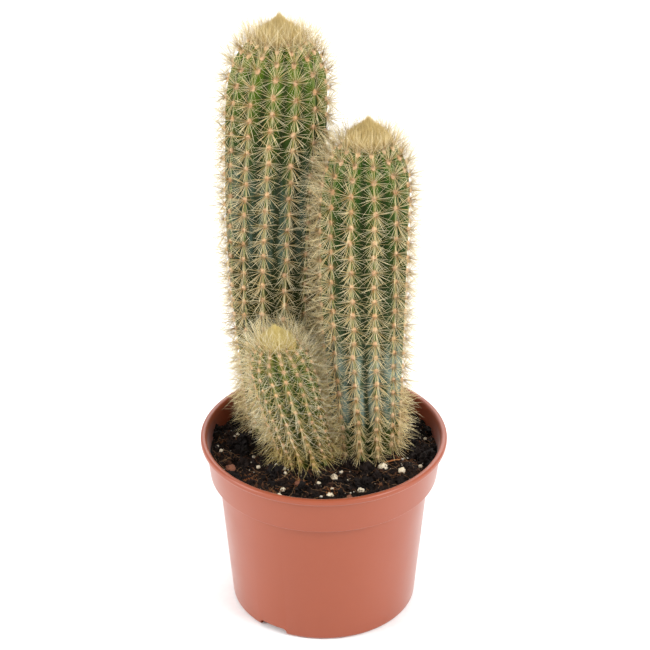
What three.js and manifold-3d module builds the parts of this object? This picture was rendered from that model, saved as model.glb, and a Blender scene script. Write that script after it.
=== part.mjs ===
// A potted tall cactus: three ribbed columnar stems in a thin-walled nursery pot.
// Millimetres, +Z up. The origin is the middle of the pot's foot, on the surface that it stands on,
// and the front of the plant faces -Y.
import * as THREE from "three";
import { mergeVertices } from "three/addons/utils/BufferGeometryUtils.js";
import Module from "manifold-3d";

const wasm = await Module();
wasm.setup();

// ---- Driving dimensions ----

const GAP = 0.3; // clearance between pieces that touch

const POT = {
  height: 91,
  rimRadius: 60,
  lipHeight: 3.2,
  collarHeight: 20.5, // from the ledge up to the lip's top
  collarTopRadius: 57.7,
  collarBottomRadius: 55.6,
  bodyTopRadius: 51.6,
  bodyBottomRadius: 45.6,
  wall: 1.1,
  footWidth: 5.6, // hollow ring that the pot stands on
  recess: 3.8, // height of the raised floor's underside
  sides: 40,
};
const DRAIN = {
  holeCount: 6,
  holeRadius: 3.5,
  holeCircle: 26,
  notchAngles: [236.5, 56.5], // degrees from +X
  notchWidth: 15.6,
  notchHeight: 3.4,
  notchCorner: 2,
  notchRoof: 1.3,
};
const SOIL = { level: 81, relief: 2.5, sides: 44 };

// foot: where the stem leaves the soil. lean: how far its tip stands from there. bow: how far its
// middle stands off that line. turn: degrees from the front to a rib, at the soil and at the tip.
const STEMS = [
  {
    name: "tall_stem",
    foot: [-18.8, 28],
    lean: [-1.2, 0],
    bow: [-3.4, 0],
    tip: 296,
    shoulder: 247,
    footRadius: 18.6,
    fullRadius: 23.8,
    fullHeight: 205,
    ribs: 14,
    ribDepth: 3.2,
    turn: [-26, 1],
    steps: 10,
    color: "#4f7356",
  },
  {
    name: "middle_stem",
    foot: [20.6, 5],
    lean: [-0.4, 0],
    bow: [-1.6, 0],
    tip: 255.5,
    shoulder: 206,
    footRadius: 15.6,
    fullRadius: 20.9,
    fullHeight: 200,
    ribs: 12,
    ribDepth: 3.4,
    turn: [20, 7.5],
    steps: 8,
    color: "#4d7558",
  },
  {
    name: "small_stem",
    foot: [-8, -5],
    lean: [-15, -7],
    bow: [-1.3, 0],
    tip: 157,
    shoulder: 127,
    footRadius: 12.8,
    fullRadius: 15.1,
    fullHeight: 122,
    ribs: 14,
    ribDepth: 1.7,
    turn: [20, 1],
    steps: 4,
    color: "#5b8550",
  },
];
const ROOT_END = 65; // height of the stems' buried ends
const CROWN_STEPS = 6;
const CROWN_SWELL = 2.2; // larger keeps the crown full for longer
const CROWN_POINT = 0.8; // larger draws the tip out to a sharper point

// Granules of expanded perlite on the soil: x, y and size.
const PERLITE = [
  [28.5, -16.5, 5.6],
  [37.5, -21, 4.2],
  [5, -23.7, 3.9],
  [3, -40.5, 4],
  [17.5, -36, 3.8],
  [-19.5, -34.5, 2.9],
  [-21, -39.5, 2.8],
  [46.5, -16, 2.5],
  [50, 10.5, 2.2],
  [8.5, -18, 2.4],
  [-2.5, -28.5, 2.5],
  [4, -34.5, 2],
  [11, -26, 2],
  [-2.5, -20.5, 1.7],
  [-18.5, -24, 2],
  [-31.5, -16.5, 2.4],
  [-34, -7, 2.1],
  [-50, -2.5, 2.6],
  [-42.5, 12.5, 2.3],
  [27, 43.5, 2.4],
  [-3, 51, 2.8],
];
// Chips of bark in the potting mix: x, y, size and turn in degrees.
const BARK = [
  [-45, -17, 7.2, 60],
  [-11.5, -31, 6, 10],
  [12, -44, 5, 75],
  [40.5, 27, 6.4, 130],
];

// ---- Materials ----

const finish = (color, roughness) => new THREE.MeshStandardMaterial({ color, roughness, metalness: 0 });

const terracottaPlastic = finish("#bd6c50", 0.45);
const pottingSoil = finish("#241a15", 0.95);
const perliteGrain = finish("#dfd8c8", 0.9);
const barkChip = finish("#5a3325", 0.85);
const dryTwig = finish("#a5673a", 0.8);

// ---- Small tools ----

const group = new THREE.Group();

function addMesh(name, geometry, material) {
  const mesh = new THREE.Mesh(geometry, material);
  mesh.name = name;
  group.add(mesh);
  return mesh;
}

function toSolid(geometry) {
  const bare = new THREE.BufferGeometry();
  const source = geometry.index ? geometry.toNonIndexed() : geometry;
  bare.setAttribute("position", source.getAttribute("position"));
  const merged = mergeVertices(bare, 1e-3);
  return new wasm.Manifold(
    new wasm.Mesh({
      numProp: 3,
      vertProperties: merged.attributes.position.array,
      triVerts: new Uint32Array(merged.index.array),
    }),
  );
}

function toGeometry(solid) {
  const mesh = solid.getMesh();
  const geometry = new THREE.BufferGeometry();
  geometry.setAttribute("position", new THREE.BufferAttribute(mesh.vertProperties, 3));
  geometry.setIndex(new THREE.BufferAttribute(mesh.triVerts, 1));
  geometry.computeVertexNormals();
  return geometry;
}

// Moves every vertex of a geometry by a function of its place.
function reshape(geometry, change) {
  const position = geometry.getAttribute("position");
  const point = new THREE.Vector3();
  for (let i = 0; i < position.count; i += 1) {
    point.fromBufferAttribute(position, i);
    change(point);
    position.setXYZ(i, point.x, point.y, point.z);
  }
  geometry.computeVertexNormals();
  return geometry;
}

// A solid of revolution about +Z from [radius, height] points.
function turned(outline, sides) {
  const points = outline.map(([radius, height]) => new THREE.Vector2(radius, height));
  return new THREE.LatheGeometry(points, sides).rotateX(Math.PI / 2);
}

// ---- Pot ----

const LEDGE = POT.height - POT.collarHeight;
const LEDGE_SLOPE = 0.6; // half the drop of the ledge's inner face
const FLOOR_TOP = POT.recess + POT.wall;
const COLLAR_TOP = POT.height - POT.lipHeight;

// Outer radius of the pot's body or collar at a height.
function potRadius(height) {
  const onBody = THREE.MathUtils.mapLinear(height, 0, LEDGE, POT.bodyBottomRadius, POT.bodyTopRadius);
  const onCollar = THREE.MathUtils.mapLinear(
    height,
    LEDGE,
    COLLAR_TOP,
    POT.collarBottomRadius,
    POT.collarTopRadius,
  );
  return height < LEDGE ? onBody : onCollar;
}

function potOutline() {
  const { wall, rimRadius, height } = POT;
  const chamfer = 1.2; // at the foot's outer edge
  const lipEdge = 0.8; // chamfer round the lip
  const lipTop = 1.4; // width of the lip's flat top
  const footInner = POT.bodyBottomRadius - POT.footWidth;
  return [
    [0, POT.recess],
    [footInner, POT.recess],
    [footInner, 0],
    [POT.bodyBottomRadius - chamfer, 0],
    [POT.bodyBottomRadius, chamfer],
    [POT.bodyTopRadius, LEDGE],
    [POT.collarBottomRadius, LEDGE + LEDGE_SLOPE],
    [POT.collarTopRadius, COLLAR_TOP],
    [rimRadius, COLLAR_TOP + lipEdge],
    [rimRadius, height - lipEdge],
    [rimRadius - lipEdge, height],
    [rimRadius - lipEdge - lipTop, height],
    [POT.collarTopRadius - wall, height - lipTop],
    [POT.collarBottomRadius - wall, LEDGE + LEDGE_SLOPE],
    [POT.bodyTopRadius - wall, LEDGE - LEDGE_SLOPE],
    [POT.bodyBottomRadius - wall, wall],
    [footInner + wall, wall],
    [footInner, FLOOR_TOP],
    [0, FLOOR_TOP],
  ];
}

// A bar that runs out along +X, with an arch-shaped section: flat below and round at its top corners.
function archBar(width, top, bottom, corner, start, end) {
  const half = width / 2;
  const arch = new THREE.Shape();
  arch.moveTo(-half, bottom);
  arch.lineTo(half, bottom);
  arch.lineTo(half, top - corner);
  arch.absarc(half - corner, top - corner, corner, 0, Math.PI / 2, false);
  arch.absarc(corner - half, top - corner, corner, Math.PI / 2, Math.PI, false);
  arch.closePath();
  const bar = new THREE.ExtrudeGeometry(arch, {
    depth: end - start,
    bevelEnabled: false,
    curveSegments: 4,
  });
  return bar.translate(0, 0, start).rotateX(Math.PI / 2).rotateZ(Math.PI / 2);
}

function makePot() {
  let pot = toSolid(turned(potOutline(), POT.sides));
  const insideFoot = POT.bodyBottomRadius - POT.footWidth - 0.6;
  const roofTop = DRAIN.notchHeight + DRAIN.notchRoof;
  for (const degrees of DRAIN.notchAngles) {
    const angle = THREE.MathUtils.degToRad(degrees);
    const roofWidth = DRAIN.notchWidth + 2 * POT.wall;
    const roofEnd = POT.bodyBottomRadius - POT.wall / 2;
    const roof = archBar(roofWidth, roofTop, 0.4, DRAIN.notchCorner, insideFoot, roofEnd - 0.8);
    const opening = archBar(
      DRAIN.notchWidth,
      DRAIN.notchHeight,
      -1,
      DRAIN.notchCorner,
      insideFoot - 4,
      POT.rimRadius,
    );
    pot = pot.add(toSolid(roof.rotateZ(angle))).subtract(toSolid(opening.rotateZ(angle)));
  }
  for (let i = 0; i < DRAIN.holeCount; i += 1) {
    const angle = (2 * Math.PI * i) / DRAIN.holeCount;
    const hole = new THREE.CylinderGeometry(DRAIN.holeRadius, DRAIN.holeRadius, 4 * POT.wall, 10);
    hole.rotateX(Math.PI / 2);
    hole.translate(
      DRAIN.holeCircle * Math.cos(angle),
      DRAIN.holeCircle * Math.sin(angle),
      FLOOR_TOP - POT.wall / 2,
    );
    pot = pot.subtract(toSolid(hole));
  }
  return pot;
}

// ---- Stems ----

function smooth(from, to, value) {
  return THREE.MathUtils.smoothstep(value, from, to);
}

// Radius over the rib crests at a height: the buried end, the column, then the crown with its tuft.
function stemRadius(stem, height) {
  const rootLength = SOIL.level - ROOT_END;
  if (height < SOIL.level) {
    const depth = (SOIL.level - height) / rootLength;
    return stem.footRadius * Math.sqrt(Math.max(0, 1 - 0.86 * depth ** 3));
  }
  const rise = THREE.MathUtils.clamp((height - SOIL.level) / (stem.fullHeight - SOIL.level), 0, 1);
  const column = THREE.MathUtils.lerp(stem.footRadius, stem.fullRadius, Math.sin((rise * Math.PI) / 2));
  if (height < stem.shoulder) return column;
  const crown = (height - stem.shoulder) / (stem.tip - stem.shoulder);
  return column * Math.max(0, 1 - crown ** CROWN_SWELL) ** CROWN_POINT;
}

// Centre of the stem at a height.
function stemCentre(stem, height) {
  const rise = (height - SOIL.level) / (stem.tip - SOIL.level);
  const bulge = Math.sin(Math.PI * Math.max(0, rise));
  return [0, 1].map((axis) => stem.foot[axis] + stem.lean[axis] * rise + stem.bow[axis] * bulge);
}

function stemHeights(stem) {
  const heights = [ROOT_END, ROOT_END + 6];
  for (let i = 0; i <= stem.steps; i += 1) {
    heights.push(THREE.MathUtils.lerp(SOIL.level - 3, stem.shoulder, i / stem.steps));
  }
  for (let i = 1; i < CROWN_STEPS; i += 1) {
    const rise = Math.sin((i / CROWN_STEPS) * (Math.PI / 2));
    heights.push(THREE.MathUtils.lerp(stem.shoulder, stem.tip, rise));
  }
  return heights;
}

// The ribbed column. Extra widens it evenly, for the socket that the soil keeps around it.
function stemGeometry(stem, extra = 0) {
  const rings = stemHeights(stem).map((height) => [stemRadius(stem, height) + extra, height]);
  rings[0][1] -= extra;
  const outline = [[0, ROOT_END - extra], ...rings, [0, stem.tip + extra]];
  const verticesPerRib = 4;
  const column = turned(outline, stem.ribs * verticesPerRib);
  return reshape(column, (point) => {
    const rise = (point.z - SOIL.level) / (stem.tip - SOIL.level);
    const crown = smooth(stem.shoulder, stem.tip - 8, point.z);
    const depth = stem.ribDepth * (1 - crown) * smooth(ROOT_END, SOIL.level, point.z + 8);
    const radius = Math.hypot(point.x, point.y);
    const angle = Math.atan2(point.x, -point.y);
    const groove = (1 - Math.cos(stem.ribs * angle)) / 2;
    const ribbed = radius > 0.01 ? radius - depth * groove : 0;
    const bearing = angle + THREE.MathUtils.degToRad(THREE.MathUtils.lerp(...stem.turn, rise));
    const [x, y] = stemCentre(stem, point.z);
    point.x = x + ribbed * Math.sin(bearing);
    point.y = y - ribbed * Math.cos(bearing);
  });
}

// ---- Soil, perlite, bark and twig ----

// Height of the soil's uneven surface.
function ground(x, y) {
  const swell = 1.1 * Math.sin(0.11 * x + 0.6) * Math.cos(0.12 * y - 0.5);
  const ripple = 0.5 * Math.sin(0.29 * x + 0.23 * y) + 0.4 * Math.cos(0.37 * y - 0.16 * x);
  return SOIL.level + swell + ripple;
}

function soilGeometry() {
  const inner = (height) => potRadius(height) - POT.wall - GAP;
  const floor = FLOOR_TOP + GAP;
  const reach = inner(SOIL.level - SOIL.relief); // clear of the wall where the surface dips
  const trough = POT.footWidth - 1.5; // the mix bridges the hollow foot
  const outline = [
    [0, floor],
    [inner(floor) - trough, floor],
    [inner(floor), floor + 4],
    [POT.bodyTopRadius - POT.wall - GAP, LEDGE - LEDGE_SLOPE + GAP],
    [POT.collarBottomRadius - POT.wall - GAP, LEDGE + LEDGE_SLOPE + GAP],
    [reach, SOIL.level],
  ];
  const rings = 6;
  for (let i = rings - 1; i >= 0; i -= 1) {
    outline.push([(reach * i) / rings, SOIL.level]);
  }
  return reshape(turned(outline, SOIL.sides), (point) => {
    if (point.z > SOIL.level - 0.01) point.z = ground(point.x, point.y);
  });
}

const LARGE_LUMP = 2.7; // larger lumps are rounder

// A rough lump: a dented ball, stretched to three sizes and sunk a little way into the ground.
function lumpGeometry(x, y, sizes, turn, seed, extra = 0) {
  const detail = sizes[0] > LARGE_LUMP ? 1 : 0;
  const ball = reshape(new THREE.IcosahedronGeometry(0.5, detail), (point) => {
    const wave = Math.sin(7 * point.x + seed) + Math.sin(9 * point.y - 2 * seed) + Math.sin(8 * point.z);
    point.multiplyScalar(1 + 0.07 * wave);
  });
  const [length, width, height] = sizes.map((size) => size + 2 * extra);
  ball.scale(length, width, height).rotateZ(THREE.MathUtils.degToRad(turn));
  return ball.translate(x, y, ground(x, y) + 0.2 * sizes[2]);
}

function twigGeometry(extra = 0) {
  const start = [26.5, -13.5];
  const end = [38, -9.5];
  const lift = 0.5;
  const points = [0, 0.35, 0.7, 1].map((along) => {
    const x = THREE.MathUtils.lerp(start[0], end[0], along);
    const y = THREE.MathUtils.lerp(start[1], end[1], along) + Math.sin(3 * along);
    return new THREE.Vector3(x, y, ground(x, y) + lift);
  });
  const section = new THREE.Shape();
  section.absarc(0, 0, 0.55 + extra, 0, 2 * Math.PI, false);
  return new THREE.ExtrudeGeometry(section, {
    steps: 6,
    curveSegments: 7,
    extrudePath: new THREE.CatmullRomCurve3(points),
  });
}

function numbered(name, index) {
  return `${name}_${String(index + 1).padStart(2, "0")}`;
}

function perliteLumps(extra = 0) {
  return PERLITE.map(([x, y, size], index) => {
    const sizes = [size, 0.84 * size, 0.74 * size];
    return lumpGeometry(x, y, sizes, 47 * index, index, extra);
  });
}

function barkLumps(extra = 0) {
  return BARK.map(([x, y, size, turn], index) => {
    return lumpGeometry(x, y, [size, 0.66 * size, 0.34 * size], turn, 3 + index, extra);
  });
}

function makeSoil() {
  let soil = toSolid(soilGeometry());
  const sockets = [...STEMS.map((stem) => stemGeometry(stem, GAP)), ...perliteLumps(GAP), ...barkLumps(GAP)];
  for (const socket of [...sockets, twigGeometry(GAP)]) {
    soil = soil.subtract(toSolid(socket));
  }
  return soil;
}

// ---- Assembly ----

addMesh("pot", toGeometry(makePot()), terracottaPlastic);
addMesh("soil", toGeometry(makeSoil()), pottingSoil);
for (const stem of STEMS) {
  addMesh(stem.name, stemGeometry(stem), finish(stem.color, 0.6));
}
perliteLumps().forEach((geometry, index) => addMesh(numbered("perlite", index), geometry, perliteGrain));
barkLumps().forEach((geometry, index) => addMesh(numbered("bark_chip", index), geometry, barkChip));
addMesh("dry_twig", twigGeometry(), dryTwig);

export default group;
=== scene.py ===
"""A potted tall cactus: three ribbed stems, their spines and crowns, the pot and the potting mix.

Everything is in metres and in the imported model's frame: +Z up, the front of the plant towards -Y,
and the origin in the middle of the pot's foot.
"""

import logging
import math
from dataclasses import dataclass, field
from enum import Enum
from functools import cache
from typing import ClassVar, Iterable, Sequence

import bmesh
import bpy
import numpy as np
from mathutils import Matrix, Vector, noise


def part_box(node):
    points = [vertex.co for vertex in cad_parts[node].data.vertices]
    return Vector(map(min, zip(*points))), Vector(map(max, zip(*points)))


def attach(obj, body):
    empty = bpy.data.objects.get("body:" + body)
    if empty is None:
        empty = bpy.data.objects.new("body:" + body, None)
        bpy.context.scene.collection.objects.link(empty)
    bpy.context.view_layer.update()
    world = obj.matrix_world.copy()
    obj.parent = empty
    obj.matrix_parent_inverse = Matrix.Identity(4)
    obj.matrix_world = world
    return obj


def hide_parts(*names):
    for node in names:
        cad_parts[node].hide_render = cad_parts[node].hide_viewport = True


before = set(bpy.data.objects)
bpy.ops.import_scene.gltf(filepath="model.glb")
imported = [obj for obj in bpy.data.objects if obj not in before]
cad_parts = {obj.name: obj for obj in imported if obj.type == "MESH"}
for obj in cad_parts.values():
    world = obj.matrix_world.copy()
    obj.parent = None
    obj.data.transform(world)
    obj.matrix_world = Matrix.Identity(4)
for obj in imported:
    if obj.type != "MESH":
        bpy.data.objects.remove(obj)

LOG = logging.getLogger("potted_cactus")
MM = 0.001
BODY = "root"

Colour = tuple[float, float, float]
Point = tuple[float, float, float]
Socket = bpy.types.NodeSocket
Tree = bpy.types.NodeTree


def linear(red: int, green: int, blue: int) -> Colour:
    """Turns a display colour of 0 to 255 into a scene-linear one."""
    return tuple(((c / 255 + 0.055) / 1.055) ** 2.4 if c > 10 else c / 3295 for c in (red, green, blue))


def smoothstep(low: float, high: float, value: np.ndarray | float) -> np.ndarray | float:
    """Rises smoothly from 0 at low to 1 at high."""
    share = np.clip((value - low) / (high - low), 0, 1)
    return share * share * (3 - 2 * share)


# ---------------------------------------------------------------------------------------------
# Node sheets and shared effects
# ---------------------------------------------------------------------------------------------


class Sheet:
    """A node tree, with short ways to add nodes and wire them."""

    def __init__(self, tree: Tree) -> None:
        """Keeps the tree that the nodes go in."""
        self.tree = tree

    def add(self, kind: str, inputs: dict | None = None, **settings: object) -> bpy.types.Node:
        """Adds a node.

        Args:
            kind: The node's type name.
            inputs: A value or a socket to wire for each named or numbered input.
            settings: The node's own settings.

        Returns:
            The new node.
        """
        node = self.tree.nodes.new(kind)
        for key, value in settings.items():
            setattr(node, key, value)
        for key, value in (inputs or {}).items():
            if isinstance(value, Socket):
                self.tree.links.new(value, node.inputs[key])
            elif isinstance(value, tuple) and len(value) == 3 and node.inputs[key].type == "RGBA":
                node.inputs[key].default_value = (*value, 1.0)
            else:
                node.inputs[key].default_value = value
        return node

    def wire(self, source: Socket, target: Socket) -> None:
        """Joins an output to an input."""
        self.tree.links.new(source, target)

    def attribute(self, name: str) -> Socket:
        """The value of a mesh attribute."""
        return self.add("ShaderNodeAttribute", attribute_name=name).outputs["Fac"]

    def place(self, scale: Point = (1, 1, 1)) -> Socket:
        """The place on the object, stretched by a scale."""
        coordinates = self.add("ShaderNodeTexCoord").outputs["Object"]
        return self.add("ShaderNodeMapping", {"Vector": coordinates, "Scale": scale}).outputs[0]

    def math(self, operation: str, first: object, second: object = 0.0, clamp: bool = True) -> Socket:
        """A sum on one or two values, kept between 0 and 1 where clamp says so."""
        node = self.add("ShaderNodeMath", {0: first, 1: second}, operation=operation, use_clamp=clamp)
        return node.outputs[0]

    def blend(self, share: float, first: object, second: object) -> Socket:
        """Mixes two values by a share."""
        return self.add("ShaderNodeMix", {0: share, 2: first, 3: second}).outputs[0]

    def mix(self, share: object, first: object, second: object) -> Socket:
        """Mixes two colours.

        Args:
            share: How much of the second colour there is.
            first: The first colour.
            second: The second colour.

        Returns:
            The mixed colour.
        """
        node = self.add("ShaderNodeMix", data_type="RGBA")
        for key, value in ((0, share), (6, first), (7, second)):
            if isinstance(value, Socket):
                self.wire(value, node.inputs[key])
            else:
                node.inputs[key].default_value = (*value, 1.0) if isinstance(value, tuple) else value
        return node.outputs[2]

    def ramp(self, value: Socket, stops: Sequence[tuple[float, Colour]]) -> Socket:
        """Colours a value by stops.

        Args:
            value: The value to colour.
            stops: Place and colour of each stop.

        Returns:
            The colour.
        """
        node = self.add("ShaderNodeValToRGB", {"Fac": value})
        elements = node.color_ramp.elements
        while len(elements) < len(stops):
            elements.new(0.5)
        for element, (place, colour) in zip(elements, stops):
            element.position = place
            element.color = (*colour, 1.0)
        return node.outputs["Color"]

    def window(self, value: object, low: float, high: float, start: float = 0, end: float = 1) -> Socket:
        """Maps a value from low and high to start and end, smoothly, without running past them."""
        inputs = {"Value": value, "From Min": low, "From Max": high, "To Min": start, "To Max": end}
        return self.add("ShaderNodeMapRange", inputs, interpolation_type="SMOOTHSTEP").outputs[0]

    def noise(self, vector: object, scale: object, detail: float = 3, roughness: float = 0.55) -> Socket:
        """A cloud of values between 0 and 1."""
        inputs = {"Vector": vector, "Scale": scale, "Detail": detail, "Roughness": roughness}
        return self.add("ShaderNodeTexNoise", inputs).outputs["Fac"]

    def effect(self, tree: Tree, inputs: dict) -> bpy.types.bpy_prop_collection:
        """Adds a shared effect with its own values, and gives its outputs."""
        return self.add("ShaderNodeGroup", inputs, node_tree=tree).outputs


EVEN = 0.5  # how rough the clouds inside the shared effects are


class Effects:
    """Shader node groups that several finishes share. Each is built once."""

    @staticmethod
    def _group(
        name: str, inputs: Iterable[tuple[str, str, object]], outputs: Iterable[tuple[str, str]]
    ) -> tuple[Sheet, bpy.types.Node, bpy.types.Node]:
        """Starts a node group.

        Args:
            name: The group's name.
            inputs: Name, socket type and first value of each input.
            outputs: Name and socket type of each output.

        Returns:
            The sheet inside the group, its input node and its output node.
        """
        tree = bpy.data.node_groups.new(name, "ShaderNodeTree")
        for label, kind, value in inputs:
            socket = tree.interface.new_socket(label, in_out="INPUT", socket_type=kind)
            socket.default_value = (*value, 1.0) if kind == "NodeSocketColor" else value
        for label, kind in outputs:
            tree.interface.new_socket(label, in_out="OUTPUT", socket_type=kind)
        sheet = Sheet(tree)
        return sheet, sheet.add("NodeGroupInput"), sheet.add("NodeGroupOutput")

    @staticmethod
    @cache
    def drift() -> Tree:
        """Makes a slow and a fine variation between two colours, with a mask of the fine part.

        Returns:
            The group.
        """
        inputs = [
            ("First Colour", "NodeSocketColor", (0.5, 0.5, 0.5)),
            ("Second Colour", "NodeSocketColor", (0.3, 0.3, 0.3)),
            ("Scale", "NodeSocketFloat", 60.0),
            ("Contrast", "NodeSocketFloat", 1.0),
        ]
        sheet, entry, leave = Effects._group(
            "colour_drift", inputs, [("Colour", "NodeSocketColor"), ("Mask", "NodeSocketFloat")]
        )
        where = sheet.place()
        slow = sheet.noise(where, entry.outputs["Scale"], 4, EVEN)
        finer = sheet.math("MULTIPLY", entry.outputs["Scale"], 7.0, clamp=False)
        fine = sheet.noise(where, finer, 5, EVEN)
        centred = sheet.math("SUBTRACT", sheet.blend(0.35, slow, fine), 0.5, clamp=False)
        spread = sheet.math("MULTIPLY", centred, entry.outputs["Contrast"], clamp=False)
        share = sheet.math("ADD", sheet.math("MULTIPLY", spread, 3.0, clamp=False), 0.5)
        colour = sheet.mix(share, entry.outputs["First Colour"], entry.outputs["Second Colour"])
        sheet.wire(colour, leave.inputs["Colour"])
        sheet.wire(fine, leave.inputs["Mask"])
        return sheet.tree

    @staticmethod
    @cache
    def grain() -> Tree:
        """Makes a rough surface's relief: broad lumps with pits and fine grain on them.

        Returns:
            The group.
        """
        inputs = [("Scale", "NodeSocketFloat", 300.0), ("Pits", "NodeSocketFloat", 0.5)]
        sheet, entry, leave = Effects._group(
            "rough_grain", inputs, [("Height", "NodeSocketFloat"), ("Pit Mask", "NodeSocketFloat")]
        )
        where = sheet.place()
        broad = sheet.noise(where, entry.outputs["Scale"], 6, EVEN)
        cells = sheet.add("ShaderNodeTexVoronoi", {"Vector": where, "Scale": entry.outputs["Scale"]})
        pit = sheet.window(cells.outputs["Distance"], 0.12, 0.5, 1, 0)
        sunk = sheet.math("MULTIPLY", pit, entry.outputs["Pits"], clamp=False)
        sheet.wire(sheet.math("SUBTRACT", broad, sunk, clamp=False), leave.inputs["Height"])
        sheet.wire(sunk, leave.inputs["Pit Mask"])
        return sheet.tree

    @staticmethod
    @cache
    def dust() -> Tree:
        """Makes a mask of dust and dried splashes, which gather on faces that look up.

        Returns:
            The group.
        """
        inputs = [("Amount", "NodeSocketFloat", 0.5), ("Speck Scale", "NodeSocketFloat", 400.0)]
        sheet, entry, leave = Effects._group("settled_dust", inputs, [("Mask", "NodeSocketFloat")])
        normal = sheet.add("ShaderNodeNewGeometry").outputs["Normal"]
        upward = sheet.add("ShaderNodeSeparateXYZ", {"Vector": normal}).outputs["Z"]
        facing = sheet.window(upward, -0.2, 0.9, 0.25, 1)
        specks = sheet.noise(sheet.place(), entry.outputs["Speck Scale"], 4, EVEN)
        sharp = sheet.window(specks, 0.56, 0.72)
        there = sheet.math("MULTIPLY", sharp, facing)
        sheet.wire(sheet.math("MULTIPLY", there, entry.outputs["Amount"]), leave.inputs["Mask"])
        return sheet.tree


@dataclass(frozen=True)
class Finish:
    """A surface finish: a Principled shader with its colour, roughness and relief from nodes."""

    name: str
    made: ClassVar[dict[str, bpy.types.Material]] = {}

    def paint(self, sheet: Sheet) -> dict[str, object]:
        """Makes the finish's nodes.

        Args:
            sheet: The material's node tree.

        Returns:
            A value or a socket for each Principled input, with Height and Depth for the relief.
        """
        raise NotImplementedError

    def material(self) -> bpy.types.Material:
        """Turns the finish into a Blender material, made once.

        Returns:
            The material.
        """
        if self.name in Finish.made:
            return Finish.made[self.name]
        material = Finish.made[self.name] = bpy.data.materials.new(f"{self.name}_finish")
        material.use_nodes = True
        material.node_tree.nodes.clear()
        sheet = Sheet(material.node_tree)
        values = self.paint(sheet)
        height, depth = values.pop("Height", None), values.pop("Depth", 0.5 * MM)
        if height is not None:
            bump = sheet.add("ShaderNodeBump", {"Height": height, "Distance": depth, "Strength": 1.0})
            values["Normal"] = bump.outputs[0]
        shader = sheet.add("ShaderNodeBsdfPrincipled", values)
        output = sheet.add("ShaderNodeOutputMaterial")
        sheet.wire(shader.outputs[0], output.inputs["Surface"])
        return material


@dataclass(frozen=True)
class TerracottaPlastic(Finish):
    """Thin moulded plastic in a terracotta colour, with a satin skin, scuffs and dried splashes."""

    body: Colour = linear(139, 65, 38)
    pale: Colour = linear(145, 70, 42)
    splash: Colour = linear(160, 112, 88)

    def paint(self, sheet: Sheet) -> dict[str, object]:
        """Makes the plastic's nodes. See Finish.paint.

        Args:
            sheet: The material's nodes.

        Returns:
            A value or a socket for each input, and the relief.
        """
        tones = {"First Colour": self.body, "Second Colour": self.pale, "Scale": 26.0, "Contrast": 0.5}
        drift = sheet.effect(Effects.drift(), tones)
        dust = sheet.effect(Effects.dust(), {"Amount": 0.05})
        scuffs = sheet.noise(sheet.place(), 45.0, 4)
        ripple = sheet.noise(sheet.place(), 900.0, 2)
        rough = sheet.window(scuffs, 0.3, 0.75, 0.285, 0.35)
        return {
            "Base Color": sheet.mix(dust["Mask"], drift["Colour"], self.splash),
            "Roughness": sheet.math("ADD", rough, sheet.math("MULTIPLY", dust["Mask"], 0.4)),
            "Specular IOR Level": 0.45,
            "Sheen Weight": 0.25,
            "Sheen Roughness": 0.3,
            "Height": sheet.blend(0.4, scuffs, ripple),
            "Depth": 0.005 * MM,
        }


@dataclass(frozen=True)
class CactusSkin(Finish):
    """Waxy green skin: brighter near the crown, with a blue-grey bloom lower down, and painted shade
    darkening the grooves between the ribs.
    """

    zones: tuple[tuple[float, Colour], ...] = ()
    crest: Colour = linear(112, 126, 66)
    bloom: Colour = linear(78, 98, 90)
    bloom_share: float = 0.7
    bloom_low: float = 0.25
    bloom_high: float = 0.6
    felt: Colour = linear(150, 116, 74)
    # painted shade: the near-black colour laid into the grooves between the ribs
    groove_shade: Colour = (0.01, 0.016, 0.003)
    pore: Colour = (0.11, 0.15, 0.03)

    def paint(self, sheet: Sheet) -> dict[str, object]:
        """Makes the skin's nodes. See Finish.paint.

        Args:
            sheet: The material's nodes.

        Returns:
            A value or a socket for each input, and the relief.
        """
        rise, crest, near = (sheet.attribute(name) for name in ("rise", "crest", "areole"))
        cloud = sheet.noise(sheet.place((1, 1, 0.6)), 90.0, 4)
        wander = sheet.add("ShaderNodeMapRange", {"Value": cloud, "To Min": -0.05, "To Max": 0.05}).outputs[0]
        along = sheet.math("ADD", rise, wander)
        colour = sheet.ramp(along, self.zones)
        band = sheet.math(
            "MULTIPLY",
            sheet.window(along, self.bloom_low, self.bloom_low + 0.1),
            sheet.window(along, self.bloom_high - 0.12, self.bloom_high, 1, 0),
        )
        streaks = sheet.window(sheet.noise(sheet.place((1, 1, 0.15)), 420.0, 5), 0.3, 0.62)
        waxed = sheet.math("MULTIPLY", sheet.math("MULTIPLY", band, streaks), self.bloom_share)
        colour = sheet.mix(waxed, colour, self.bloom)
        # Painted shade: away from the rib crests the skin darkens towards the groove colour.
        groove_shade_share = sheet.window(crest, 0.0, 0.6, 0.8, 0)
        colour = sheet.mix(groove_shade_share, colour, self.groove_shade)
        ridge = sheet.math("MULTIPLY", sheet.window(crest, 0.93, 1.0), 0.6)
        colour = sheet.mix(ridge, colour, self.crest)
        colour = sheet.mix(sheet.math("MULTIPLY", near, 0.8), colour, self.felt)
        pores = sheet.noise(sheet.place(), 2600.0, 3)
        return {
            "Base Color": sheet.mix(sheet.window(pores, 0.4, 0.75, 0, 0.2), colour, self.pore),
            "Roughness": sheet.window(cloud, 0.3, 0.7, 0.42, 0.62),
            "Specular IOR Level": 0.12,
            "Height": sheet.blend(0.5, streaks, pores),
            "Depth": 0.18 * MM,
        }


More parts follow.
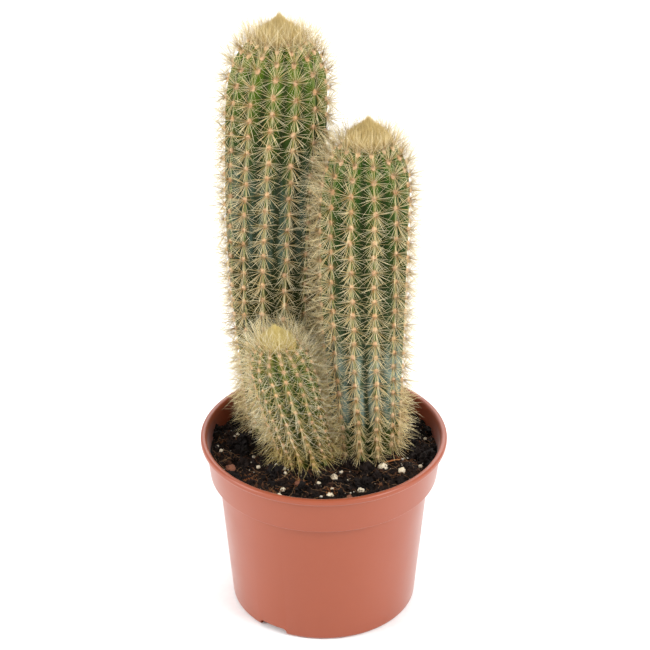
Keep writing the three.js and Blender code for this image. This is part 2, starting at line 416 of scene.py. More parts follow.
@dataclass(frozen=True)
class Fibre(Finish):
    """Spines, bristles, hairs and roots: coloured along their length, with a tone for each one."""

    stops: tuple[tuple[float, Colour], ...] = ()
    tint: Colour = (0.5, 0.4, 0.2)
    tint_share: float = 0.5
    roughness: float = 0.5
    glow: float = 0.0

    def paint(self, sheet: Sheet) -> dict[str, object]:
        """Makes the fibre's nodes. See Finish.paint.

        Args:
            sheet: The material's nodes.

        Returns:
            A value or a socket for each input, and the relief.
        """
        along, tone = sheet.attribute("along"), sheet.attribute("tone")
        colour = sheet.ramp(along, self.stops)
        share = sheet.window(tone, 0.15, 1.0, 0, self.tint_share)
        rough = sheet.window(along, 0.0, 1.0, self.roughness + 0.15, self.roughness - 0.1)
        bands = sheet.math("SINE", sheet.math("MULTIPLY", along, 40.0, clamp=False), clamp=False)
        return {
            "Base Color": sheet.mix(share, colour, self.tint),
            "Roughness": rough,
            "Specular IOR Level": 0.3,
            "Sheen Weight": self.glow,
            "Height": bands,
            "Depth": 0.02 * MM,
        }


@dataclass(frozen=True)
class Crumb(Finish):
    """Small loose bits coloured by a tone for each, with painted shade on their undersides and in their
    dents.
    """

    stops: tuple[tuple[float, Colour], ...] = ()
    roughness: float = 0.9
    # painted shade: the near-black colour that each bit darkens towards at its underside and in its dents
    hollow: Colour = (0.004, 0.003, 0.002)

    def paint(self, sheet: Sheet) -> dict[str, object]:
        """Makes the crumb's nodes. See Finish.paint.

        Args:
            sheet: The material's nodes.

        Returns:
            A value or a socket for each input, and the relief.
        """
        along, tone = sheet.attribute("along"), sheet.attribute("tone")
        colour = sheet.ramp(tone, self.stops)
        # Painted shade: low along values, at each bit's underside and in its dents, darken it towards the
        # hollow colour.
        shade = sheet.window(along, 0.0, 1.0, 0.75, 0)
        return {
            "Base Color": sheet.mix(shade, colour, self.hollow),
            "Roughness": sheet.window(along, 0, 1, self.roughness, self.roughness - 0.18),
            "Specular IOR Level": 0.2,
            "Height": along,
            "Depth": 0.2 * MM,
        }


@dataclass(frozen=True)
class PottingMix(Finish):
    """Damp, near-black potting mix with brown flecks, and painted shade in its pits."""

    dark: Colour = linear(17, 11, 8)
    brown: Colour = linear(44, 28, 19)
    fleck: Colour = linear(104, 70, 46)
    # painted shade laid into the pits
    hollow: Colour = (0.003, 0.002, 0.002)

    def paint(self, sheet: Sheet) -> dict[str, object]:
        """Makes the mix's nodes. See Finish.paint.

        Args:
            sheet: The material's nodes.

        Returns:
            A value or a socket for each input, and the relief.
        """
        tones = {"First Colour": self.dark, "Second Colour": self.brown, "Scale": 160.0}
        drift = sheet.effect(Effects.drift(), tones)
        grain = sheet.effect(Effects.grain(), {"Scale": 700.0})
        flecks = sheet.window(sheet.noise(sheet.place(), 1500.0, 3), 0.66, 0.74, 0, 0.7)
        colour = sheet.mix(flecks, drift["Colour"], self.fleck)
        return {
            # Painted shade: the pits darken towards the hollow colour.
            "Base Color": sheet.mix(grain["Pit Mask"], colour, self.hollow),
            "Roughness": sheet.window(drift["Mask"], 0.3, 0.7, 0.7, 0.95),
            "Specular IOR Level": 0.2,
            "Height": grain["Height"],
            "Depth": 1.2 * MM,
        }


@dataclass(frozen=True)
class RoughGrain(Finish):
    """Perlite or bark: two colours, pitted, darker in the pits."""

    first: Colour = linear(232, 222, 198)
    second: Colour = linear(196, 178, 148)
    # the colour that the pits are darkened towards
    pit_colour: Colour = linear(60, 42, 30)
    scale: float = 420.0
    pits: float = 0.9
    depth: float = 0.5 * MM

    def paint(self, sheet: Sheet) -> dict[str, object]:
        """Makes the grain's nodes. See Finish.paint.

        Args:
            sheet: The material's nodes.

        Returns:
            A value or a socket for each input, and the relief.
        """
        tones = {"First Colour": self.first, "Second Colour": self.second, "Scale": self.scale}
        drift = sheet.effect(Effects.drift(), tones)
        grain = sheet.effect(Effects.grain(), {"Scale": self.scale * 1.6, "Pits": self.pits})
        # The pits are darkened towards the pit colour.
        pit_share = sheet.window(grain["Pit Mask"], 0.3, 0.7, 0, 0.8)
        return {
            "Base Color": sheet.mix(pit_share, drift["Colour"], self.pit_colour),
            "Roughness": sheet.window(drift["Mask"], 0.3, 0.7, 0.8, 0.98),
            "Height": grain["Height"],
            "Depth": self.depth,
        }


@dataclass(frozen=True)
class StudioPaper(Finish):
    """The plain pale surface that the pot stands on."""

    shade: Colour = (0.88, 0.88, 0.88)
    pale: Colour = (0.91, 0.91, 0.91)

    def paint(self, sheet: Sheet) -> dict[str, object]:
        """Makes the paper's nodes. See Finish.paint.

        Args:
            sheet: The material's nodes.

        Returns:
            A value or a socket for each input, and the relief.
        """
        fibre = sheet.noise(sheet.place(), 300.0, 4)
        return {
            "Base Color": sheet.mix(sheet.window(fibre, 0.3, 0.7), self.shade, self.pale),
            "Roughness": sheet.window(fibre, 0.3, 0.7, 0.8, 0.95),
        }


# ---------------------------------------------------------------------------------------------
# Mesh tools
# ---------------------------------------------------------------------------------------------


def place_object(name: str, data: bpy.types.ID) -> bpy.types.Object:
    """Makes an object and links it to the scene.

    Args:
        name: The object's name.
        data: Its mesh, light or camera.

    Returns:
        The new object.
    """
    thing = bpy.data.objects.new(name, data)
    bpy.context.scene.collection.objects.link(thing)
    return thing


def new_piece(name: str, mesh: bpy.types.Mesh, finish: Finish) -> bpy.types.Object:
    """Makes an object that rides on the plant's one body.

    Args:
        name: The piece's name.
        mesh: Its mesh.
        finish: The finish that it wears.

    Returns:
        The new object, linked to the scene.
    """
    piece = place_object(name, mesh)
    mesh.materials.clear()
    mesh.materials.append(finish.material())
    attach(piece, BODY)
    LOG.info("%s: %d faces", name, len(mesh.polygons))
    return piece


def grid_mesh(name: str, rows: np.ndarray, closed: bool = True) -> bpy.types.Mesh:
    """Skins rows of points, each row a ring or a strip, into one smooth mesh.

    Args:
        name: The mesh's name.
        rows: Points, as rows by columns by 3.
        closed: Whether each row joins up into a ring.

    Returns:
        A mesh of quads, open at the first and the last row.
    """
    count, width = rows.shape[:2]
    index = np.arange(count * width).reshape(count, width)
    across = np.roll(index, -1, axis=1) if closed else index[:, 1:]
    here = index if closed else index[:, :-1]
    quads = np.stack([here[:-1], across[:-1], across[1:], here[1:]], -1).reshape(-1, 4)
    mesh = bpy.data.meshes.new(name)
    mesh.from_pydata(rows.reshape(-1, 3).tolist(), [], quads.tolist())
    shade_smooth(mesh)
    return mesh


def shade_smooth(mesh: bpy.types.Mesh) -> None:
    """Shades every face of a mesh smoothly."""
    mesh.polygons.foreach_set("use_smooth", np.ones(len(mesh.polygons), bool))


def mesh_from(form: bmesh.types.BMesh, name: str) -> bpy.types.Mesh:
    """Turns a form into a mesh, and frees the form.

    Args:
        form: The form, which can't be used after this.
        name: The mesh's name.

    Returns:
        The new mesh.
    """
    mesh = bpy.data.meshes.new(name)
    form.to_mesh(mesh)
    form.free()
    return mesh


def ring_points(radius: float, height: float, turns: Iterable[float]) -> list[Point]:
    """Points of a level ring around the axis, one for each turn."""
    return [(radius * math.cos(turn), radius * math.sin(turn), height) for turn in turns]


def tube_faces(rings: int, around: int) -> list[Sequence[int]]:
    """Skins rings of points into a tube that is closed at its start.

    Args:
        rings: How many rings the points make.
        around: Points on each ring.

    Returns:
        The faces, as lists of point numbers.
    """
    faces: list[Sequence[int]] = [tuple(reversed(range(around)))]
    for ring in range(rings - 1):
        for k in range(around):
            a, b = ring * around + k, ring * around + (k + 1) % around
            faces.append((a, b, b + around, a + around))
    return faces


def add_values(mesh: bpy.types.Mesh, name: str, values: np.ndarray) -> None:
    """Stores one number for each vertex."""
    store = mesh.attributes.new(name, "FLOAT", "POINT")
    store.data.foreach_set("value", np.asarray(values, np.float32).ravel())


def wrap_map(mesh: bpy.types.Mesh, count: int, width: int) -> None:
    """Gives a grid mesh of closed rings an even map: round the ring across, and along the rows up.

    Args:
        mesh: The grid mesh.
        count: How many rings it has.
        width: Points on each ring.
    """
    layer = mesh.uv_layers.new(name="OFBake")
    rows = np.arange(count - 1)[:, None, None]
    columns = np.arange(width)[None, :, None]
    u = (columns + np.array([0, 1, 1, 0])) / width
    v = (rows + np.array([0, 0, 1, 1])) / (count - 1)
    u, v = np.broadcast_arrays(u, v)
    layer.data.foreach_set("uv", (np.stack([u, v], -1) * 0.98 + 0.01).astype(np.float32).ravel())


class Bundle:
    """Many small bits, such as spines or crumbs, gathered into one mesh.

    Each vertex has along, its place on its bit from 0 to 1, and tone, the bit's own shade. The
    mesh's map holds those same two numbers, so that bits of one tone share a strip of it.
    """

    def __init__(self) -> None:
        """Starts with no bits."""
        self.points: list[np.ndarray] = []
        self.along: list[np.ndarray] = []
        self.tone: list[np.ndarray] = []
        self.faces: list[list[int]] = []
        self.strips: list[list[float]] = []
        self.count = 0

    def add(
        self,
        points: np.ndarray,
        faces: Sequence[Sequence[int]],
        along: np.ndarray,
        tone: float,
        strip: np.ndarray,
    ) -> None:
        """Adds a bit.

        Args:
            points: Its points.
            faces: Its faces, as lists of point numbers.
            along: Each point's place on the bit, from 0 to 1.
            tone: The bit's shade, from 0 to 1.
            strip: Each point's place across the bit's strip of the map, from 0 to 1.
        """
        start = self.count
        self.points.append(points)
        self.along.append(along)
        self.tone.append(np.full(len(points), tone))
        self.faces.extend([start + i for i in face] for face in faces)
        self.strips.append(strip)
        self.count += len(points)

    def mesh(self, name: str, smooth: bool = True) -> bpy.types.Mesh:
        """Joins the bits into a mesh with its attributes and its map.

        Args:
            name: The mesh's name.
            smooth: Whether its faces are shaded smoothly.

        Returns:
            The mesh.
        """
        mesh = bpy.data.meshes.new(name)
        mesh.from_pydata(np.concatenate(self.points).tolist(), [], self.faces)
        along, tone, strip = (np.concatenate(parts) for parts in (self.along, self.tone, self.strips))
        add_values(mesh, "along", along)
        add_values(mesh, "tone", tone)
        corners = np.empty(len(mesh.loops), np.int32)
        mesh.loops.foreach_get("vertex_index", corners)
        layer = mesh.uv_layers.new(name="OFBake")
        across = 0.01 + 0.96 * tone[corners] + 0.02 * strip[corners]
        uv = np.stack([0.01 + 0.98 * along[corners], across], -1)
        layer.data.foreach_set("uv", uv.astype(np.float32).ravel())
        mesh.polygons.foreach_set("use_smooth", np.full(len(mesh.polygons), smooth))
        return mesh


NEEDLE_FACES = (
    (0, 2, 1),
    (0, 1, 4, 3), (1, 2, 5, 4), (2, 0, 3, 5),
    (3, 4, 6), (4, 5, 6), (5, 3, 6),
)
NEEDLE_KNEE = 0.66  # how far along it a needle may bend
NEEDLE_NARROWING = 0.78  # its width there
NEEDLE_KNEE_BEND = 0.4  # its share of the tip's bend there
NEEDLE_ALONG = np.array([0, 0, 0, NEEDLE_KNEE, NEEDLE_KNEE, NEEDLE_KNEE, 1.0])
NEEDLE_STRIP = np.array([0, 0.5, 1, 0, 0.5, 1, 0.5])
TRIANGLE = np.array([(math.cos(a), math.sin(a)) for a in (0.0, 2.094, 4.189)])
ASKEW = (0.31, 0.17, 0.93)  # a direction that no needle points along


def add_needle(
    bundle: Bundle,
    root: np.ndarray,
    direction: np.ndarray,
    length: float,
    width: float,
    tone: float,
    bend: np.ndarray | None = None,
) -> None:
    """Adds a tapered spine of three sides.

    Args:
        bundle: Where it goes.
        root: Its foot.
        direction: The unit vector that it points along.
        length: Its length.
        width: Its diameter at the foot.
        tone: Its shade.
        bend: How far its tip is pushed aside.
    """
    side = np.cross(direction, ASKEW)
    side /= np.linalg.norm(side)
    other = np.cross(direction, side)
    ring = (TRIANGLE[:, :1] * side + TRIANGLE[:, 1:] * other) * width / 2
    tip = root + direction * length
    middle = root + direction * length * NEEDLE_KNEE
    if bend is not None:
        tip = tip + bend
        middle = middle + bend * NEEDLE_KNEE_BEND
    points = np.concatenate([root + ring, middle + ring * NEEDLE_NARROWING, tip[None]])
    bundle.add(points, NEEDLE_FACES, NEEDLE_ALONG, tone, NEEDLE_STRIP)


# ---------------------------------------------------------------------------------------------
# Pot
# ---------------------------------------------------------------------------------------------


CREASE = math.radians(38)  # an edge that turns more than this stays sharp


@dataclass
class Pot:
    """The moulded nursery pot, with its rolled lip, deep collar, hollow foot and drain notches."""

    finish: TerracottaPlastic
    lip_height: float = 3.2 * MM
    collar_height: float = 20.5 * MM
    collar_top: float = 57.7 * MM
    collar_bottom: float = 55.6 * MM
    body_top: float = 51.6 * MM
    body_bottom: float = 45.6 * MM
    wall: float = 1.1 * MM
    foot_width: float = 5.6 * MM
    recess: float = 3.8 * MM
    notch_angles: tuple[float, ...] = (236.5, 56.5)
    notch_width: float = 15.6 * MM
    notch_height: float = 3.4 * MM
    notch_roof: float = 1.3 * MM
    hole_count: int = 6
    hole_radius: float = 3.5 * MM
    hole_circle: float = 26 * MM
    sides: int = 192

    def __post_init__(self) -> None:
        """Reads the pot's overall size from the frame."""
        low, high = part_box("pot")
        self.height = high[2] - low[2]
        self.rim = (high[0] - low[0]) / 2
        self.ledge = self.height - self.collar_height

    def inner_radius(self, height: float) -> float:
        """Radius of the inner wall above the ledge."""
        share = (height - self.ledge) / (self.collar_height - self.lip_height)
        return self.collar_bottom + (self.collar_top - self.collar_bottom) * share - self.wall

    @staticmethod
    def _rounded(points: Sequence[tuple[float, float, float]], steps: int = 5) -> list[tuple[float, float]]:
        """Rounds the corners of an outline.

        Args:
            points: Radius, height and rounding of each corner.
            steps: Points on each rounded corner.

        Returns:
            Radius and height of each point of the rounded outline.
        """
        outline: list[tuple[float, float]] = []
        for index, (radius, height, rounding) in enumerate(points):
            if rounding == 0 or index in (0, len(points) - 1):
                outline.append((radius, height))
                continue
            corner = Vector((radius, height))
            before = Vector(points[index - 1][:2]) - corner
            after = Vector(points[index + 1][:2]) - corner
            reach = min(rounding, before.length * 0.48, after.length * 0.48)
            start, end = corner + before.normalized() * reach, corner + after.normalized() * reach
            for step in range(steps + 1):
                t = step / steps
                point = start * (1 - t) ** 2 + corner * 2 * t * (1 - t) + end * t**2
                outline.append((point.x, point.y))
        return outline

    def outline(self) -> list[tuple[float, float]]:
        """Draws the pot's section, from the axis under the floor to the axis on top of it.

        Returns:
            Radius and height of each point of the section.
        """
        h, w, rim = self.height, self.wall, self.rim
        inner = self.body_bottom - self.foot_width
        corners = [
            (0.0, self.recess, 0),
            (inner, self.recess, 1.4 * MM),
            (inner + 0.4 * MM, 0.0, 1.2 * MM),
            (self.body_bottom - 0.05 * MM, 0.0, 1.8 * MM),
            (self.body_top, self.ledge, 0.3 * MM),
            (self.collar_bottom, self.ledge + 0.1 * MM, 0.5 * MM),
            (self.collar_top, h - self.lip_height, 0.35 * MM),
            (rim, h - self.lip_height + 0.2 * MM, 1.1 * MM),
            (rim, h, 1.3 * MM),
            (rim - 2.6 * MM, h, 1.1 * MM),
            (self.collar_top - w - 0.1 * MM, h - 2.2 * MM, 0.8 * MM),
            (self.collar_bottom - w, self.ledge + 0.6 * MM, 0.6 * MM),
            (self.body_top - w, self.ledge - 0.6 * MM, 0.6 * MM),
            (self.body_bottom - w, w, 1.2 * MM),
            (inner + w + 0.3 * MM, w, 0.8 * MM),
            (inner - 0.1 * MM, self.recess + w, 1.0 * MM),
            (0.0, self.recess + w, 0),
        ]
        return self._rounded(corners)

    def build(self) -> None:
        """Builds the pot and cuts its drain notches and holes."""
        outline = self.outline()
        turns = np.linspace(0, 2 * np.pi, self.sides, endpoint=False)
        body = bmesh.new()
        rings = [[body.verts.new(point) for point in ring_points(r, h, turns)] for r, h in outline[1:-1]]
        for first, second in zip(rings, rings[1:]):
            for k in range(self.sides):
                after = (k + 1) % self.sides
                body.faces.new((first[k], first[after], second[after], second[k]))
        body.faces.new(list(reversed(rings[0])))
        body.faces.new(rings[-1])
        body.normal_update()
        piece = new_piece("nursery_pot", mesh_from(body, "nursery_pot"), self.finish)
        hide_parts("pot")
        start = self.body_bottom - self.foot_width - 0.6 * MM
        roof_end = self.body_bottom - self.wall / 2 - 0.8 * MM
        roof_width, roof_top = self.notch_width + 2 * self.wall, self.notch_height + self.notch_roof
        for angle in self.notch_angles:
            roof = self._arch(roof_width, roof_top, 0.4 * MM, start, roof_end, angle)
            self._cut(piece, roof, "UNION")
            notch = self._arch(self.notch_width, self.notch_height, -1 * MM, start - 4 * MM, self.rim, angle)
            self._cut(piece, notch, "DIFFERENCE")
        for k in range(self.hole_count):
            self._cut(piece, self._hole(2 * math.pi * k / self.hole_count), "DIFFERENCE")
        shade_smooth(piece.data)
        piece.data.set_sharp_from_angle(angle=CREASE)

    def _arch(
        self, width: float, top: float, bottom: float, start: float, end: float, degrees: float
    ) -> bpy.types.Object:
        """Makes a bar that runs out from the axis, with a section that is round at its top corners.

        Args:
            width: The section's width.
            top: Height of its top.
            bottom: Height of its bottom.
            start: How far from the axis the bar starts.
            end: How far from the axis it ends.
            degrees: The way that it runs, from +X towards +Y.

        Returns:
            The bar, to join or to cut with.
        """
        half, corner, steps = width / 2, 2 * MM, 5
        section = [(-half, bottom), (half, bottom)]
        for centre, first in ((half - corner, 0.0), (corner - half, math.pi / 2)):
            for k in range(steps + 1):
                turn = first + math.pi / 2 * k / steps
                section.append((centre + corner * math.cos(turn), top - corner + corner * math.sin(turn)))
        form = bmesh.new()
        ends = [[form.verts.new((x, across, z)) for across, z in section] for x in (start, end)]
        form.faces.new(list(reversed(ends[0])))
        form.faces.new(ends[1])
        for k in range(len(section)):
            after = (k + 1) % len(section)
            form.faces.new((ends[0][k], ends[0][after], ends[1][after], ends[1][k]))
        bmesh.ops.recalc_face_normals(form, faces=form.faces)
        form.transform(Matrix.Rotation(math.radians(degrees), 4, "Z"))
        return self._tool(form)

    def _hole(self, turn: float) -> bpy.types.Object:
        """Makes a drill for one drain hole.

        Args:
            turn: Where the hole is round the axis, in radians.

        Returns:
            The drill.
        """
        form = bmesh.new()
        bmesh.ops.create_cone(
            form, cap_ends=True, segments=32, radius1=self.hole_radius, radius2=self.hole_radius, depth=5 * MM
        )
        place = ring_points(self.hole_circle, self.recess + self.wall / 2, [turn])[0]
        form.transform(Matrix.Translation(place))
        return self._tool(form)

    @staticmethod
    def _tool(form: bmesh.types.BMesh) -> bpy.types.Object:
        """Turns a form into an object that cuts."""
        return place_object("cutter", mesh_from(form, "cutter"))

    @staticmethod
    def _cut(piece: bpy.types.Object, tool: bpy.types.Object, operation: str) -> None:
        """Joins or cuts a piece by a tool, keeps the result and removes the tool.

        Args:
            piece: What is joined or cut.
            tool: What it is joined to or cut by.
            operation: The boolean's own name.
        """
        modifier = piece.modifiers.new("cut", "BOOLEAN")
        modifier.object, modifier.operation, modifier.solver = tool, operation, "EXACT"
        graph = bpy.context.evaluated_depsgraph_get()
        result = bpy.data.meshes.new_from_object(piece.evaluated_get(graph))
        piece.modifiers.clear()
        result.name = "nursery_pot"
        piece.data = result
        bpy.data.objects.remove(tool)


# ---------------------------------------------------------------------------------------------
# Stems
# ---------------------------------------------------------------------------------------------


class Habit(Enum):
    """How a stem has grown."""

    GROWN = "grown"
    YOUNG = "young"


SKIN_ROWS = {Habit.GROWN: 230, Habit.YOUNG: 120}
SKIN_COLUMNS = 14  # for each rib
WOOL_SIZE = {Habit.GROWN: 1.12, Habit.YOUNG: 0.84}
PAD_RINGS = ((1.0, -0.35), (0.92, 0.25), (0.55, 0.72))  # reach and lift of a felt pad's rings
PAD_SIDES = 8
PAD_HAIRS = 12
WOOL_WIDTH = 0.22 * MM
HAIR_WIDTH = 0.09 * MM
BRISTLE_WIDTH = 0.16 * MM
BRISTLE_ROOT = 0.6 * MM  # how deep a bristle starts under the skin
ROOM_TRIES = 12
ROOM_LOSS = 0.85


@dataclass(frozen=True)
class SpineSet:
    """How an areole's spines stand."""

    radial: int = 24
    central: int = 14
    length: float = 9.8 * MM
    width: float = 0.155 * MM
    droop: float = 0.2
    low_gain: float = 0.1
    crown_gain: float = 0.25
    central_gain: float = 1.35
    low_loss: float = 0.15
    # painted shade: how much darker the spines near the mix are made
    low_painted_shade: float = 0.45
    hairs: int = 6
    column_hairs: float = 0.0


@dataclass
class Stem:
    """One cactus stem: its ribbed skin, felted areoles, spines and the tuft of its crown."""

    node: str
    habit: Habit
    foot: tuple[float, float]
    lean: tuple[float, float]
    bow: tuple[float, float]
    shoulder: float
    foot_radius: float
    full_radius: float
    full_height: float
    ribs: int
    rib_depth: float
    turn: tuple[float, float]
    areole_gap: float
    skin: CactusSkin
    spine_finish: Fibre
    felt_finish: Fibre
    tuft_finish: Fibre
    spines: SpineSet
    seed: int
    tuft_height: float = 9.5 * MM
    tuft_share: float = 0.47
    tuft_drop: float = 10.0 * MM
    tuft_count: int = 4600
    soil_level: float = 81 * MM
    pot: Pot | None = None
    dome_swell: float = 3.0
    dome_point: float = 0.46
    tip: float = field(init=False)
    root_end: float = field(init=False)
    areoles: list[tuple[float, float]] = field(init=False, default_factory=list)

    def __post_init__(self) -> None:
        """Reads the stem's height from the frame."""
        low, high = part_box(self.node)
        self.root_end, self.tip = low[2], high[2]
        self.random = np.random.default_rng(self.seed)

    @property
    def apex(self) -> float:
        """Height of the skin's own top, under the tuft."""
        return self.tip - self.tuft_height

    def column(self, height: np.ndarray) -> np.ndarray:
        """Radius over the ribs, before the crown draws in."""
        rise = np.clip((height - self.soil_level) / (self.full_height - self.soil_level), 0, 1)
        return self.foot_radius + (self.full_radius - self.foot_radius) * np.sin(rise * np.pi / 2)

    def skin_radius(self, height: np.ndarray) -> np.ndarray:
        """Finds the radius over the rib crests.

        Args:
            height: The heights to find it at.

        Returns:
            The radius at each height.
        """
        below = np.clip((self.soil_level - height) / (self.soil_level - self.root_end), 0, 1)
        crown = np.clip((height - self.shoulder) / (self.apex - self.shoulder), 0, 1)
        dome = np.maximum(0, 1 - crown**self.dome_swell) ** self.dome_point
        return self.column(height) * dome * np.sqrt(np.maximum(0, 1 - 0.86 * below**3))

    def centre(self, height: np.ndarray) -> np.ndarray:
        """Finds the middle of the stem, which leans and bows.

        Args:
            height: The heights to find it at.

        Returns:
            The middle at each height, as x and y.
        """
        rise = (np.asarray(height) - self.soil_level) / (self.tip - self.soil_level)
        bulge = np.sin(np.pi * np.maximum(0, rise))
        return np.stack([self.foot[i] + self.lean[i] * rise + self.bow[i] * bulge for i in (0, 1)], -1)

    def swing(self, height: np.ndarray) -> np.ndarray:
        """Angle from the front to the first rib at each height, in radians."""
        rise = (np.asarray(height) - self.soil_level) / (self.tip - self.soil_level)
        return np.radians(self.turn[0] + (self.turn[1] - self.turn[0]) * rise)

    def surface(self, angle: np.ndarray, height: np.ndarray, radius: np.ndarray) -> np.ndarray:
        """Places points round the stem.

        Args:
            angle: Each point's angle from the first rib, in radians.
            height: Each point's height.
            radius: Each point's distance from the middle.

        Returns:
            The points.
        """
        bearing = angle + self.swing(height)
        middle = self.centre(height)
        x = middle[..., 0] + radius * np.sin(bearing)
        y = middle[..., 1] - radius * np.cos(bearing)
        return np.stack([x, y, np.broadcast_to(height, x.shape)], -1)

    def areole_places(self) -> list[tuple[float, float]]:
        """Places the areoles along the ribs, with ribs next to each other out of step.

        Returns:
            Angle and height of every areole.
        """
        heights = np.linspace(self.soil_level + 1 * MM, self.apex - 0.01 * MM, 3000)
        radius = self.skin_radius(heights)
        length = np.concatenate([[0], np.cumsum(np.hypot(np.diff(heights), np.diff(radius)))])
        bare = np.argmax((radius < self.tuft_share * self.full_radius * 0.86) & (heights > self.shoulder))
        end = length[bare]
        places = []
        for rib in range(self.ribs):
            at = self.areole_gap * ((0.5 if rib % 2 else 0.0) + self.random.uniform(0.1, 0.4))
            angle = rib * 2 * np.pi / self.ribs
            while at < end:
                height = float(np.interp(at, length, heights))
                places.append((angle + self.random.normal(0, 0.012), height))
                low = 0.68 + 0.32 * float(smoothstep(0, 45 * MM, height - self.soil_level))
                top = 1 - 0.4 * float(smoothstep(end - 26 * MM, end, at))
                at += self.areole_gap * low * top * self.random.uniform(0.95, 1.05)
        return places

    def build_skin(self) -> bpy.types.Object:
        """Builds the ribbed skin, which narrows a little between one areole and the next.

        Returns:
            The skin.
        """
        rows, columns = SKIN_ROWS[self.habit], self.ribs * SKIN_COLUMNS
        share = np.linspace(0, 1, rows)
        share = share + 0.06 * np.sin(np.pi * share) * share
        height = self.root_end + (self.apex - self.root_end) * np.minimum(share / share[-1], 1)
        height = height[:, None]
        angle = np.linspace(0, 2 * np.pi, columns, endpoint=False)[None, :]
        crest = (1 + np.cos(self.ribs * angle)) / 2
        crest = np.broadcast_to(crest**0.8, (rows, columns)).copy()
        fade = 1 - smoothstep(self.shoulder + 0.2 * (self.apex - self.shoulder), self.apex, height)
        depth = self.rib_depth * fade * smoothstep(self.root_end, self.soil_level, height + 8 * MM)
        radius = self.skin_radius(height) - depth * (1 - crest)
        near = np.zeros((rows, columns))
        for place_angle, place_height in self.areoles:
            around = np.abs((angle - place_angle + np.pi) % (2 * np.pi) - np.pi) * self.full_radius
            reach = np.exp(-((around / (1.5 * MM)) ** 2) - ((height - place_height) / (1.7 * MM)) ** 2)
            near += reach
        near = np.clip(near, 0, 1)
        radius = radius + 0.45 * MM * near * fade
        radius[-1] = 0.02 * MM
        radius[0] = np.minimum(radius[0], 1.5 * MM)
        points = self.surface(angle, height, radius)
        mesh = grid_mesh(f"{self.node}_skin", points)
        wrap_map(mesh, rows, columns)
        rise = (height - self.soil_level) / (self.apex - self.soil_level)
        add_values(mesh, "rise", np.broadcast_to(rise, radius.shape))
        add_values(mesh, "crest", crest)
        add_values(mesh, "areole", near)
        piece = new_piece(f"{self.node}_skin", mesh, self.skin)
        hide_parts(self.node)
        return piece

    def frame_at(self, angle: float, height: float) -> tuple[np.ndarray, np.ndarray, np.ndarray, np.ndarray]:
        """Finds a place on a rib crest and how the skin lies there.

        Args:
            angle: The rib's angle from the first rib.
            height: The place's height.

        Returns:
            The place, with its outward, sideways and upward directions.
        """
        step = 0.6 * MM
        around = np.array(angle)
        at = [self.surface(around, h, self.skin_radius(h)) for h in np.array([height - step, height + step])]
        up = at[1] - at[0]
        up = up / np.linalg.norm(up)
        bearing = angle + float(self.swing(np.array(height)))
        side = np.array([math.cos(bearing), math.sin(bearing), 0.0])
        out = np.cross(side, up)
        return (at[0] + at[1]) / 2, out / np.linalg.norm(out), side, up

    def build_areoles(self) -> None:
        """Builds the areoles' felt pads with their short wool, and the spines that stand in them."""
        felt, spines = Bundle(), Bundle()
        for angle, height in self.areoles:
            root, out, side, up = self.frame_at(angle, height)
            size = self.random.uniform(0.88, 1.12)
            wool = size * WOOL_SIZE[self.habit]
            tone = float(np.clip(self.random.normal(0.45, 0.22), 0, 1))
            self._felt_pad(felt, root + out * 0.25 * MM, out, side, up, wool, tone)
            self._spine_star(spines, root + out * 0.5 * MM, out, side, up, height, size)
        name = f"{self.node}_areoles"
        felted = new_piece(name, felt.mesh(name), self.felt_finish)
        name = f"{self.node}_spines"
        spiny = new_piece(name, spines.mesh(name), self.spine_finish)
        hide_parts(self.node)
        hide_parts(self.node)

    def _felt_pad(
        self,
        felt: Bundle,
        root: np.ndarray,
        out: np.ndarray,
        side: np.ndarray,
        up: np.ndarray,
        size: float,
        tone: float,
    ) -> None:
        """Adds one areole's cushion of wool: a low dome and short hairs.

        Args:
            felt: Where it goes.
            root: Its place.
            out: The way out of the skin.
            side: The way round the stem.
            up: The way up the stem.
            size: Its size, 1 for a usual one.
            tone: Its shade.
        """
        around, rings = PAD_SIDES, PAD_RINGS
        points, along = [], []
        for reach, lift in rings:
            for k in range(around):
                turn = 2 * math.pi * k / around
                wobble = self.random.uniform(0.86, 1.12)
                flat = side * math.cos(turn) * 0.95 * MM + up * math.sin(turn) * 1.25 * MM
                points.append(root + (flat * reach * wobble + out * lift * 0.75 * MM) * size)
                along.append(0.25 + 0.4 * (lift + 0.35))
        points.append(root + out * 0.8 * MM * size)
        along.append(0.7)
        top = len(points) - 1
        faces = tube_faces(len(rings), around)
        last = (len(rings) - 1) * around
        faces.extend((last + k, last + (k + 1) % around, top) for k in range(around))
        strip = np.array([(k % around) / (around - 1) for k in range(top)] + [0.5])
        felt.add(np.array(points), faces, np.array(along), tone, strip)
        for _ in range(PAD_HAIRS):
            turn, tilt = self.random.uniform(0, 2 * math.pi), self.random.uniform(0.2, 1.3)
            lie = side * math.cos(turn) + up * math.sin(turn)
            direction = out * math.cos(tilt) + lie * math.sin(tilt)
            foot = root + lie * 0.55 * MM * size * self.random.uniform(0.2, 1.1)
            shade = float(np.clip(tone + self.random.normal(0, 0.1), 0, 1))
            add_needle(felt, foot, direction, self.random.uniform(0.9, 1.6) * MM * size, WOOL_WIDTH, shade)

